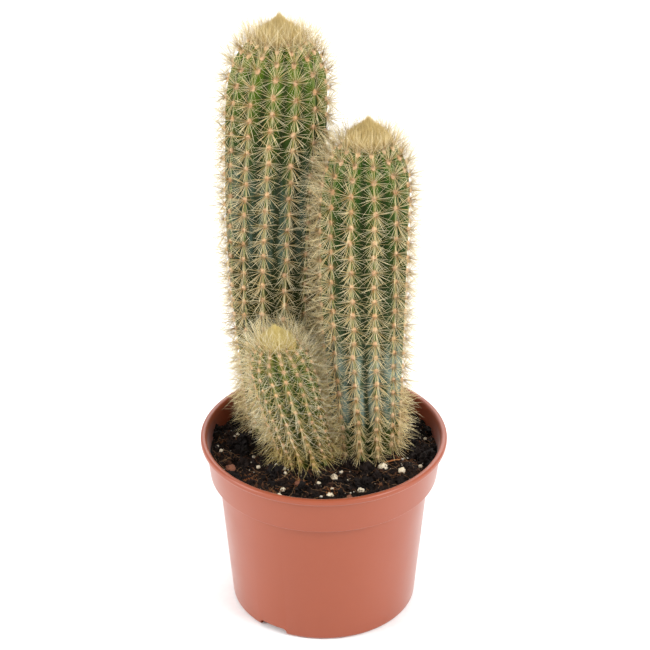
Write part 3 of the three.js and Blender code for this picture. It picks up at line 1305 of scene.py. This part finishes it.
    def _spine_star(
        self,
        spines: Bundle,
        root: np.ndarray,
        out: np.ndarray,
        side: np.ndarray,
        up: np.ndarray,
        height: float,
        size: float,
    ) -> None:
        """Adds one areole's star of radial spines, its stouter central ones and its fine hairs.

        Args:
            spines: Where they go.
            root: The areole's place.
            out: The way out of the skin.
            side: The way round the stem.
            up: The way up the stem.
            height: The areole's height.
            size: The star's size, 1 for a usual one.
        """
        plan = self.spines
        low = 1 - float(smoothstep(0.0, 0.4, (height - self.soil_level) / (self.tip - self.soil_level)))
        crown = float(smoothstep(self.shoulder, self.apex, height))
        gain = (1 + plan.low_gain * low + plan.crown_gain * crown) * size
        droop = (plan.droop + 0.3 * low) * (1 - crown) - 0.75 * crown
        width = plan.width * (1 - 0.35 * crown)
        radial = round(plan.radial * (1 - plan.low_loss * low**2 + 0.45 * crown))
        central = round(plan.central * (1 + 0.1 * crown))
        spin = self.random.uniform(0, 2 * math.pi)
        for k in range(radial + central):
            stout = k >= radial
            turn = spin + 2 * math.pi * (k + self.random.uniform(-0.4, 0.4)) / radial * (2.7 if stout else 1)
            lie = side * math.cos(turn) + up * math.sin(turn)
            rise = self.random.uniform(0.55, 1.45) if stout else 0.06 + 0.8 * self.random.uniform() ** 1.4
            rise += 0.25 * crown
            direction = lie * math.cos(rise) + out * math.sin(rise)
            direction = direction - up * droop * self.random.uniform(0.1, 1.4)
            direction = direction / np.linalg.norm(direction)
            length = plan.length * gain * self.random.uniform(0.7, 1.12)
            if stout:
                length *= self.random.uniform(1.0, plan.central_gain)
            bend = -up * length * self.random.uniform(-0.03, 0.05)
            # Painted shade: spines low on the stem get a lower tone, so they come out darker.
            tone = self.random.uniform(0, 1) * (1 - plan.low_painted_shade * low) * (1 - 0.15 * crown)
            length = self._room(root, direction, length)
            add_needle(spines, root, direction, length, width * (1.2 if stout else 0.95), tone, bend)
        for _ in range(round(plan.hairs * max(crown, plan.column_hairs * (1 - low)))):
            turn, rise = self.random.uniform(0, 2 * math.pi), self.random.uniform(0.5, 1.4)
            lie = side * math.cos(turn) + up * math.sin(turn)
            direction = lie * math.cos(rise) + out * math.sin(rise) + up * self.random.uniform(0, 0.5)
            direction = direction / np.linalg.norm(direction)
            length = self._room(root, direction, plan.length * gain * self.random.uniform(1.05, 1.4))
            add_needle(spines, root, direction, length, HAIR_WIDTH, 1.0)

    def _room(self, root: np.ndarray, direction: np.ndarray, length: float) -> float:
        """Shortens a spine that would run into the pot's wall or the mix.

        Args:
            root: The spine's foot.
            direction: The way that it points.
            length: Its full length.

        Returns:
            The length that it has room for.
        """
        for _ in range(ROOM_TRIES):
            tip = root + direction * length
            in_pot = tip[2] < self.pot.height + 1.5 * MM
            if in_pot and math.hypot(tip[0], tip[1]) > self.pot.inner_radius(tip[2]) - 0.8 * MM:
                length *= ROOM_LOSS
            elif tip[2] < self.soil_level + 0.3 * MM and length > 3 * MM:
                length *= ROOM_LOSS
            else:
                break
        return length

    def build_tuft(self) -> None:
        """Builds the crown's tuft: upright bristles that lean in to one point."""
        tuft = Bundle()
        levels = np.linspace(self.shoulder, self.apex, 400)
        profile = self.skin_radius(levels)
        widest = self.tuft_share * self.full_radius
        golden = math.pi * (3 - math.sqrt(5))
        for k in range(self.tuft_count):
            share = math.sqrt((k + 0.5) / self.tuft_count)
            reach, turn = widest * share, golden * k + self.random.normal(0, 0.05)
            foot_height = np.array(float(np.interp(-reach, -profile, levels)))
            root = self.surface(np.array(turn), foot_height, np.array(reach))
            top = self.tip + 2.4 * MM - (self.tuft_drop + 0.6 * MM) * share**0.85
            top += self.random.normal(0, 0.55 * MM) + max(0, self.random.normal(0, 1.2 * MM)) * share
            top = min(top, self.tip + 2.8 * MM)
            splay = self.random.uniform(1.05, 1.3) if self.random.uniform() < 0.15 * share**2 else 1.0
            tip_radius = reach * (0.55 + 0.32 * share) * self.random.uniform(0.88, 1.08) * splay
            tip = self.surface(np.array(turn), np.array(top), np.array(tip_radius))
            tip[:2] += self.random.normal(0, 0.3 * MM, 2)
            way = tip - root
            length = float(np.linalg.norm(way))
            tone = float(np.clip(self.random.normal(0.35 + 0.3 * share, 0.22), 0, 1))
            deep = root - way / length * BRISTLE_ROOT
            add_needle(tuft, deep, way / length, length + BRISTLE_ROOT, BRISTLE_WIDTH, tone)
        piece = new_piece(f"{self.node}_tuft", tuft.mesh(f"{self.node}_tuft"), self.tuft_finish)
        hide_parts(self.node)

    def build(self) -> None:
        """Builds the whole stem."""
        self.areoles = self.areole_places()
        self.build_skin()
        self.build_areoles()
        self.build_tuft()


# ---------------------------------------------------------------------------------------------
# Potting mix, perlite, bark, fibres
# ---------------------------------------------------------------------------------------------


CRUMB_COUNT = 4200
GRIT_COUNT = 170
ROOT_COUNT = 260
COIR_TUFTS = (  # place across and back in millimetres, and how many fibres
    (-37, -27.5, 60), (-11, -31, 34), (-24, -37, 16), (4, -38, 18), (36, -8, 10), (30, 33, 16), (-38, 26, 18),
)

Form = tuple[np.ndarray, list[list[int]]]


def ball_form(detail: int) -> Form:
    """Makes a ball of radius 1.

    Args:
        detail: How often its faces are split.

    Returns:
        Its points and its faces.
    """
    form = bmesh.new()
    bmesh.ops.create_icosphere(form, subdivisions=detail, radius=1.0)
    points = np.array([v.co[:] for v in form.verts])
    faces = [[v.index for v in face.verts] for face in form.faces]
    form.free()
    return points, faces


@dataclass
class PottingBed:
    """The potting mix and what lies in it: crumbs, perlite, bark, coir, roots and a dry twig."""

    pot: Pot
    stems: Sequence[Stem]
    mix: PottingMix
    crumb: Crumb
    grit: Crumb
    perlite: RoughGrain
    bark: RoughGrain
    coir: Fibre
    root: Fibre
    level: float = 81 * MM
    seed: int = 41

    def __post_init__(self) -> None:
        """Starts the random numbers."""
        self.random = np.random.default_rng(self.seed)
        self.edge = self.pot.inner_radius(self.level) - 0.5 * MM

    def ground(self, x: float, y: float) -> float:
        """Finds how high the mix lies, without its crumbs.

        Args:
            x: The place across.
            y: The place back.

        Returns:
            The surface's height.
        """
        a, b = x / MM, y / MM
        swell = 1.1 * math.sin(0.11 * a + 0.6) * math.cos(0.12 * b - 0.5)
        ripple = 0.5 * math.sin(0.29 * a + 0.23 * b) + 0.4 * math.cos(0.37 * b - 0.16 * a)
        return self.level + (swell + ripple) * MM

    def clear_of_stems(self, x: float, y: float, room: float) -> bool:
        """Tells whether a place is outside every stem.

        Args:
            x: The place across.
            y: The place back.
            room: How far outside it has to be.

        Returns:
            True for a place that is clear.
        """
        for stem in self.stems:
            middle = stem.centre(np.array(self.level))
            if math.hypot(x - middle[0], y - middle[1]) < stem.foot_radius + room:
                return False
        return True

    def build_surface(self) -> None:
        """Builds the bed: a clumpy top and the plain sides that the pot hides."""
        rings, around = 90, 260
        rows = []
        for i in range(rings + 1):
            radius = self.edge * (1 - i / rings)
            row = []
            for k in range(around):
                turn = 2 * math.pi * k / around
                x, y = max(radius, 0.02 * MM) * math.cos(turn), max(radius, 0.02 * MM) * math.sin(turn)
                lump = noise.fractal(Vector((x, y, 0.0)) * 210, 1.0, 2.0, 5) * 0.9 * MM
                clod = abs(noise.noise(Vector((x, y, 0.3)) * 110)) * 1.8 * MM
                row.append((x, y, self.ground(x, y) - 0.8 * MM + lump + clod))
            rows.append(row)
        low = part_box("soil")[0][2]
        ledge = self.pot.ledge
        skirt = [
            (0.4 * MM, low),
            (self.pot.body_bottom - 8 * MM, low),
            (self.pot.body_bottom - 2.2 * MM, low + 4 * MM),
            (self.pot.body_top - 1.8 * MM, ledge - 0.5 * MM),
            (self.pot.collar_bottom - 1.8 * MM, ledge + 1.2 * MM),
        ]
        turns = [2 * math.pi * k / around for k in range(around)]
        for radius, height in reversed(skirt):
            rows.insert(0, ring_points(radius, height, turns))
        mesh = grid_mesh("potting_mix", np.array(rows))
        form = bmesh.new()
        form.from_mesh(mesh)
        bmesh.ops.holes_fill(form, edges=form.edges, sides=0)
        form.to_mesh(mesh)
        form.free()
        piece = new_piece("potting_mix", mesh, self.mix)
        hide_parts("soil")

    def _lump(self, bundle: Bundle, form: Form, place: np.ndarray, size: float, tone: float) -> None:
        """Adds a small jagged lump.

        Args:
            bundle: Where it goes.
            form: The ball that it is dented from.
            place: Its middle.
            size: Its width.
            tone: Its shade.
        """
        points, faces = form
        shift = Vector(self.random.uniform(-50, 50, 3))
        dents = np.array([noise.fractal(Vector(p) * 1.5 + shift, 0.7, 2.1, 5) for p in points])
        shape = points * (1 + 0.75 * dents)[:, None]
        turn = np.array(Matrix.Rotation(self.random.uniform(0, 6.3), 3, Vector(self.random.normal(0, 1, 3))))
        shape = (shape * self.random.uniform(0.6, 1.2, 3)) @ turn.T * size / 2
        # Painted shade: along is lower towards the lump's underside and in its dents, and its finish darkens
        # it there.
        shade = np.clip(0.5 + 0.5 * shape[:, 2] / (size / 2) + 0.6 * dents, 0, 1)
        strip = np.clip(0.5 + 0.5 * shape[:, 0] / size, 0, 1)
        world = shape + place
        reach = np.hypot(world[:, 0], world[:, 1])
        world[:, :2] *= np.minimum(1, self.edge / np.maximum(reach, 1 * MM))[:, None]
        bundle.add(world, faces, shade, tone, strip)

    def _scatter(self, count: int) -> Iterable[tuple[float, float]]:
        """Picks random places on the open surface of the mix.

        Args:
            count: How many.

        Returns:
            The places across and back, one after another.
        """
        made = 0
        while made < count:
            radius, turn = self.edge * math.sqrt(self.random.uniform()), self.random.uniform(0, 2 * math.pi)
            x, y = radius * math.cos(turn), radius * math.sin(turn)
            if self.clear_of_stems(x, y, 0.2 * MM):
                made += 1
                yield x, y

    def build_crumbs(self) -> None:
        """Scatters crumbs of mix, and fine grit of perlite."""
        crumbs, grit = Bundle(), Bundle()
        forms = {detail: ball_form(detail) for detail in (2, 3, 4)}
        grains = [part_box(node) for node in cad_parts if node.startswith(("perlite_", "bark_chip_"))]
        for x, y in self._scatter(CRUMB_COUNT):
            size = (0.4 + 1.8 * self.random.uniform() ** 3 + 6.0 * self.random.uniform() ** 34) * MM
            place = np.array([x, y, self.ground(x, y) + 0.05 * size + self.random.uniform(-0.2, 0.4) * MM])
            room = size * 0.45
            covered = any(
                low[0] - room < x < high[0] + room and low[1] - room < y < high[1] + room
                for low, high in grains
            )
            tone = float(self.random.beta(1.2, 2.8))
            if covered and size > 0.8 * MM:
                continue
            form = forms[4 if size > 4 * MM else 3 if size > 2 * MM else 2]
            self._lump(crumbs, form, place, size, tone * (0.35 if size > 3 * MM else 1))
        for x, y in self._scatter(GRIT_COUNT):
            size = (0.4 + 1.0 * self.random.uniform() ** 3) * MM
            place = np.array([x, y, self.ground(x, y) + 0.5 * MM])
            self._lump(grit, forms[2], place, size, float(self.random.uniform()))
        loose = new_piece("mix_crumbs", crumbs.mesh("mix_crumbs", False), self.crumb)
        fine = new_piece("perlite_grit", grit.mesh("perlite_grit"), self.grit)
        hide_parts("soil")
        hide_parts("soil")

    def build_grain(self, node: str, finish: RoughGrain, flat: float) -> None:
        """Builds a perlite granule or a bark chip where its CAD solid lies.

        Args:
            node: The CAD node that it stands for.
            finish: What it is made of.
            flat: 0 for a round granule, and 1 for a layered chip.
        """
        low, high = (np.array(corner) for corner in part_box(node))
        middle, size = (low + high) / 2, high - low
        form = bmesh.new()
        bmesh.ops.create_icosphere(form, subdivisions=4, radius=1.0)
        shift = Vector((middle / MM).tolist())
        for vertex in form.verts:
            way = vertex.co.copy()
            broad = noise.noise(way * 1.3 + shift) * (0.2 + 0.2 * flat)
            cells = noise.voronoi(way * 1.7 + shift)[0][0]
            fine = noise.fractal(way * 5 + shift, 1.0, 2.0, 4) * 0.06
            layers = 0.1 * flat * math.sin(way.z * 14 + 4 * broad)
            vertex.co = way * (1.0 + broad - 0.42 * cells**1.5 * (1 - flat) + fine + layers)
        extent = [max(abs(v.co[i]) for v in form.verts) for i in range(3)]
        for vertex in form.verts:
            vertex.co = Vector([middle[i] + vertex.co[i] / extent[i] * size[i] / 2 for i in range(3)])
        mesh = mesh_from(form, f"{node}_grain")
        shade_smooth(mesh)
        piece = new_piece(f"{node}_grain", mesh, finish)
        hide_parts(node)

    def _strand(
        self,
        bundle: Bundle,
        start: np.ndarray,
        heading: float,
        length: float,
        width: float,
        curl: float,
        tone: float,
    ) -> None:
        """Adds a thin strand that wanders over the surface.

        Args:
            bundle: Where it goes.
            start: Where it starts.
            heading: The way that it sets out, in radians.
            length: Its length.
            width: Its diameter at the start.
            curl: How much it turns at each step, in radians.
            tone: Its shade.
        """
        steps, sides = 9, 4
        centre, rows = start.copy(), []
        for step in range(steps + 1):
            share = step / steps
            radius = width / 2 * (1 - 0.6 * share)
            side = np.array([-math.sin(heading), math.cos(heading), 0.0])
            for k in range(sides):
                turn = 2 * math.pi * k / sides
                lift = np.array([0, 0, radius * math.sin(turn)])
                rows.append(centre + side * radius * math.cos(turn) + lift)
            heading += self.random.normal(0, curl)
            centre = centre + np.array([math.cos(heading), math.sin(heading), 0.0]) * length / steps
            reach = math.hypot(centre[0], centre[1])
            if reach > self.edge - 1 * MM:
                centre[:2] *= (self.edge - 1 * MM) / reach
            above = self.ground(centre[0], centre[1]) + 0.7 * MM
            centre[2] = 0.6 * centre[2] + 0.4 * above + self.random.normal(0, 0.25 * MM)
        faces = tube_faces(steps + 1, sides)
        faces.append(tuple(range(steps * sides, (steps + 1) * sides)))
        along = np.repeat(np.linspace(0, 1, steps + 1), sides)
        strip = np.tile(np.linspace(0, 1, sides), steps + 1)
        bundle.add(np.array(rows), faces, along, tone, strip)

    def build_fibres(self) -> None:
        """Builds coir tufts and fine roots on the mix."""
        coir, roots = Bundle(), Bundle()
        for x, y, count in COIR_TUFTS:
            for _ in range(count):
                foot = np.array([x, y, 0.0]) * MM + np.append(self.random.normal(0, 1.5 * MM, 2), 0)
                if math.hypot(foot[0], foot[1]) > self.edge - 2 * MM:
                    continue
                foot[2] = self.ground(foot[0], foot[1]) + self.random.uniform(0.3, 1.6) * MM
                heading, length = self.random.uniform(0, 6.3), self.random.uniform(2, 6) * MM
                self._strand(coir, foot, heading, length, 0.2 * MM, 0.5, self.random.uniform())
        for x, y in self._scatter(ROOT_COUNT):
            foot = np.array([x, y, self.ground(x, y) + 0.7 * MM])
            heading, length = self.random.uniform(0, 6.3), self.random.uniform(4, 15) * MM
            self._strand(roots, foot, heading, length, 0.17 * MM, 0.35, self.random.uniform())
        tufted = new_piece("coir_fibres", coir.mesh("coir_fibres"), self.coir)
        rooted = new_piece("fine_roots", roots.mesh("fine_roots"), self.root)
        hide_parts("soil")
        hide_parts("soil")

    def build_twig(self) -> None:
        """Builds the dry twig along its CAD solid, with a knot and tapered ends."""
        low, high = (np.array(corner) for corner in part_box("dry_twig"))
        steps, sides = 40, 14
        start = np.array([low[0] + 0.4 * MM, low[1] + 0.6 * MM])
        end = np.array([high[0] - 0.4 * MM, high[1] - 1.0 * MM])
        rows = []
        for step in range(steps + 1):
            share = step / steps
            x, y = start + (end - start) * share
            middle = np.array([x, y + 0.45 * MM * math.sin(math.pi * share), self.ground(x, y) + 0.5 * MM])
            swell = 1 + 0.5 * math.exp(-(((share - 0.35) / 0.05) ** 2)) - 0.45 * share
            ends = min(1.0, 8 * share + 0.15, 8 * (1 - share) + 0.15)
            for k in range(sides):
                turn = 2 * math.pi * k / sides
                bark = 0.1 * noise.noise(Vector((turn, share * 9, 0)))
                ridge = 1 + 0.12 * math.sin(5 * turn + 9 * share) + bark
                radius = 0.52 * MM * swell * ends * ridge
                way = np.array([0.25 * math.cos(turn), 0.95 * math.cos(turn), math.sin(turn)])
                rows.append(middle + way * radius)
        mesh = grid_mesh("dry_twig_stick", np.array(rows).reshape(steps + 1, sides, 3))
        wrap_map(mesh, steps + 1, sides)
        add_values(mesh, "along", np.repeat(np.linspace(0, 1, steps + 1), sides))
        add_values(mesh, "tone", np.tile(np.linspace(0, 0.6, sides), steps + 1))
        piece = new_piece("dry_twig_stick", mesh, self.coir)
        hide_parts("dry_twig")

    def build(self) -> None:
        """Builds the bed and everything in it."""
        self.build_surface()
        self.build_crumbs()
        for node in sorted(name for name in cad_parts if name.startswith("perlite_")):
            self.build_grain(node, self.perlite, 0.0)
        for node in sorted(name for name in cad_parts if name.startswith("bark_chip_")):
            self.build_grain(node, self.bark, 1.0)
        self.build_fibres()
        self.build_twig()


# ---------------------------------------------------------------------------------------------
# Studio
# ---------------------------------------------------------------------------------------------


SENSOR = 36.0  # the camera's sensor width in millimetres


@dataclass
class Studio:
    """Camera, soft lights and the pale floor."""

    aim: Point = (0.0, 0.0, 0.1509)
    distance: float = 1.0
    pitch: float = 29.3
    focal: float = 2114.7 / 650  # the focal length over the frame's width
    shift_x: float = 0.0018
    sky: float = 0.95

    def build_camera(self) -> None:
        """Sets the camera at the height of a person looking down at a table."""
        data = bpy.data.cameras.new("camera")
        data.sensor_fit, data.sensor_width = "HORIZONTAL", SENSOR
        data.lens = SENSOR * self.focal
        data.shift_x = self.shift_x
        data.clip_start = 0.05
        camera = place_object("camera", data)
        pitch = math.radians(self.pitch)
        away = Vector((0, -math.cos(pitch), math.sin(pitch))) * self.distance
        camera.location = Vector(self.aim) + away
        camera.rotation_euler = (-away).to_track_quat("-Z", "Y").to_euler()
        bpy.context.scene.camera = camera

    @staticmethod
    def _softbox(name: str, place: Point, target: Point, width: float, height: float, power: float) -> None:
        """Hangs a rectangular light that faces a target.

        Args:
            name: The light's name.
            place: Where it hangs.
            target: What it faces.
            width: Its width.
            height: Its height.
            power: Its power in watts.
        """
        data = bpy.data.lights.new(name, "AREA")
        data.shape, data.size, data.size_y = "RECTANGLE", width, height
        data.energy = power
        light = place_object(name, data)
        light.location = place
        light.rotation_euler = (Vector(target) - Vector(place)).to_track_quat("-Z", "Y").to_euler()

    def build_lights(self) -> None:
        """Sets a bright even sky, a large key at the upper right and a fill at the left."""
        world = bpy.data.worlds.new("studio_sky")
        world.use_nodes = True
        sky = world.node_tree.nodes["Background"].inputs
        sky["Color"].default_value = (1, 1, 1, 1)
        sky["Strength"].default_value = self.sky
        bpy.context.scene.world = world
        middle = (0, 0, 0.14)
        self._softbox("key_light", (0.85, -0.55, 0.7), middle, 0.5, 0.6, 12.0)
        self._softbox("fill_light", (-0.95, -0.3, 0.5), middle, 0.5, 0.7, 9.0)
        self._softbox("back_light", (0.1, 0.8, 0.7), middle, 0.9, 0.6, 4.5)

    def build_floor(self) -> None:
        """Lays the pale floor."""
        form = bmesh.new()
        bmesh.ops.create_grid(form, x_segments=24, y_segments=24, size=3.0)
        floor = place_object("floor", mesh_from(form, "floor"))
        floor.data.materials.append(StudioPaper("studio_paper").material())
        floor.location.z = -0.2 * MM

    def build(self) -> None:
        """Builds the studio and picks a plain picture look."""
        self.build_camera()
        self.build_lights()
        self.build_floor()
        bpy.context.scene.view_settings.view_transform = "Standard"
        bpy.context.scene.view_settings.look = "None"


# ---------------------------------------------------------------------------------------------
# The plant
# ---------------------------------------------------------------------------------------------

def colour_stops(*stops: tuple[float, int, int, int]) -> tuple[tuple[float, Colour], ...]:
    """Turns stops of place and display colour into stops of place and scene-linear colour."""
    return tuple((place, linear(*colour)) for place, *colour in stops)


# Spine colours from foot to tip. The darker foot is partly the spines' own colour and partly painted shade
# where the spines crowd at the areole.
STRAW = colour_stops((0.0, 182, 130, 68), (0.25, 194, 158, 92), (0.6, 220, 198, 138), (1.0, 232, 217, 170))
PALE_STRAW = colour_stops(
    (0.0, 160, 122, 52), (0.25, 184, 154, 76), (0.6, 214, 192, 122), (1.0, 234, 219, 166)
)
GOLD = colour_stops((0.0, 112, 84, 36), (0.5, 196, 162, 84), (1.0, 230, 206, 142))
LEMON = colour_stops((0.0, 140, 112, 34), (0.5, 206, 176, 74), (1.0, 234, 214, 142))
WOOL = colour_stops((0.0, 190, 140, 98), (0.4, 216, 172, 130), (1.0, 230, 202, 168))


def make_stems(pot: Pot) -> list[Stem]:
    """Sizes the three stems.

    Args:
        pot: The pot that they stand in.

    Returns:
        The stems, from the tallest to the smallest.
    """
    spine = Fibre("straw_spines", STRAW, linear(250, 238, 200), 0.85, 0.45)
    pale_spine = Fibre("pale_spines", PALE_STRAW, linear(254, 246, 216), 0.88, 0.45)
    felt = Fibre("areole_wool", WOOL, linear(226, 170, 104), 0.45, 0.9, 0.2)
    golden = Fibre("golden_bristles", GOLD, linear(214, 192, 138), 0.6, 0.5)
    lemon = Fibre("lemon_bristles", LEMON, linear(222, 206, 134), 0.6, 0.5)
    tall_zones = colour_stops(
        (0.0, 44, 52, 12), (0.3, 30, 38, 10), (0.6, 26, 42, 16),
        (0.8, 36, 60, 8), (0.97, 68, 94, 6),
    )
    middle_zones = colour_stops(
        (0.0, 36, 60, 3), (0.12, 44, 62, 14), (0.3, 60, 78, 56),
        (0.6, 26, 48, 14), (0.85, 24, 60, 6), (1.0, 50, 86, 6),
    )
    # The small stem's skin from foot to crown. The darker lowest stop is partly its olive-brown foot and
    # partly painted shade near the mix.
    small_zones = colour_stops(
        (0.0, 34, 42, 1), (0.4, 18, 54, 5), (0.8, 28, 68, 2), (1.0, 80, 94, 6),
    )
    tall = Stem(
        "tall_stem", Habit.GROWN, foot=(-18.8 * MM, 28 * MM), lean=(-1.2 * MM, 0), bow=(-3.4 * MM, 0),
        shoulder=247 * MM, foot_radius=18.6 * MM, full_radius=23.6 * MM, full_height=205 * MM,
        ribs=14, rib_depth=3.6 * MM, turn=(-26, 1), areole_gap=8.0 * MM,
        skin=CactusSkin("tall_skin", tall_zones, bloom_share=0.6, bloom_low=0.42, bloom_high=0.78),
        spine_finish=spine, felt_finish=felt, tuft_finish=golden,
        spines=SpineSet(radial=22, central=13), seed=11, pot=pot,
    )
    grey = linear(122, 142, 134)
    middle = Stem(
        "middle_stem", Habit.GROWN, foot=(20.6 * MM, 5 * MM), lean=(-0.4 * MM, 0), bow=(-1.6 * MM, 0),
        shoulder=206 * MM, foot_radius=15.6 * MM, full_radius=20.7 * MM, full_height=200 * MM,
        ribs=12, rib_depth=3.8 * MM, turn=(20, 7.5), areole_gap=7.6 * MM,
        skin=CactusSkin(
            "middle_skin", middle_zones, bloom=grey, bloom_share=0.95, bloom_low=0.07, bloom_high=0.42
        ),
        spine_finish=spine, felt_finish=felt, tuft_finish=golden,
        spines=SpineSet(length=9.4 * MM, low_gain=-0.1, low_loss=0.3), seed=12,
        tuft_height=9 * MM, tuft_share=0.52, pot=pot,
    )
    fine_spines = SpineSet(
        radial=12, central=8, length=8.2 * MM, width=0.125 * MM, crown_gain=0.3, central_gain=1.7,
        low_loss=0.5, low_painted_shade=0.85, hairs=8, column_hairs=0.25,
    )
    small = Stem(
        "small_stem", Habit.YOUNG, foot=(-8 * MM, -5 * MM), lean=(-15 * MM, -7 * MM), bow=(-1.3 * MM, 0),
        shoulder=127 * MM, foot_radius=12.8 * MM, full_radius=14.9 * MM, full_height=122 * MM,
        ribs=14, rib_depth=1.9 * MM, turn=(20, 1), areole_gap=5.9 * MM,
        skin=CactusSkin("small_skin", small_zones, bloom_low=2.0, bloom_high=3.0),
        spine_finish=pale_spine, felt_finish=felt, tuft_finish=lemon,
        spines=fine_spines, seed=13,
        tuft_height=7.5 * MM, tuft_share=0.6, tuft_drop=8.5 * MM, tuft_count=3400, pot=pot,
    )
    return [tall, middle, small]


def make_bed(pot: Pot, stems: Sequence[Stem]) -> PottingBed:
    """Gives the potting bed its finishes.

    Args:
        pot: The pot that it fills.
        stems: The stems that stand in it.

    Returns:
        The bed.
    """
    soil_tones = colour_stops((0.0, 14, 8, 6), (0.45, 34, 20, 13), (0.75, 78, 48, 30), (1.0, 136, 92, 60))
    grit_tones = colour_stops((0.0, 170, 156, 134), (1.0, 232, 226, 212))
    coir_stops = colour_stops((0.0, 120, 70, 38), (0.5, 160, 98, 54), (1.0, 186, 128, 78))
    root_stops = colour_stops((0.0, 92, 54, 32), (1.0, 170, 120, 78))
    return PottingBed(
        pot, stems, PottingMix("potting_mix"),
        crumb=Crumb("mix_crumbs", soil_tones),
        grit=Crumb("perlite_grit", grit_tones),
        perlite=RoughGrain("perlite"),
        bark=RoughGrain("bark", linear(96, 56, 40), linear(140, 88, 62), linear(40, 24, 18), 260.0, 0.5),
        coir=Fibre("coir", coir_stops, linear(130, 80, 46), 0.5, 0.8),
        root=Fibre("roots", root_stops, linear(176, 150, 116), 0.5, 0.8),
    )


def main() -> None:
    """Builds the whole plant."""
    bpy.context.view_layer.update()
    pot = Pot(TerracottaPlastic("terracotta_plastic"))
    pot.build()
    stems = make_stems(pot)
    for stem in stems:
        stem.build()
    make_bed(pot, stems).build()
    Studio().build()


if __name__ == "__main__":
    logging.basicConfig(level=logging.INFO, format="%(message)s")
    main()
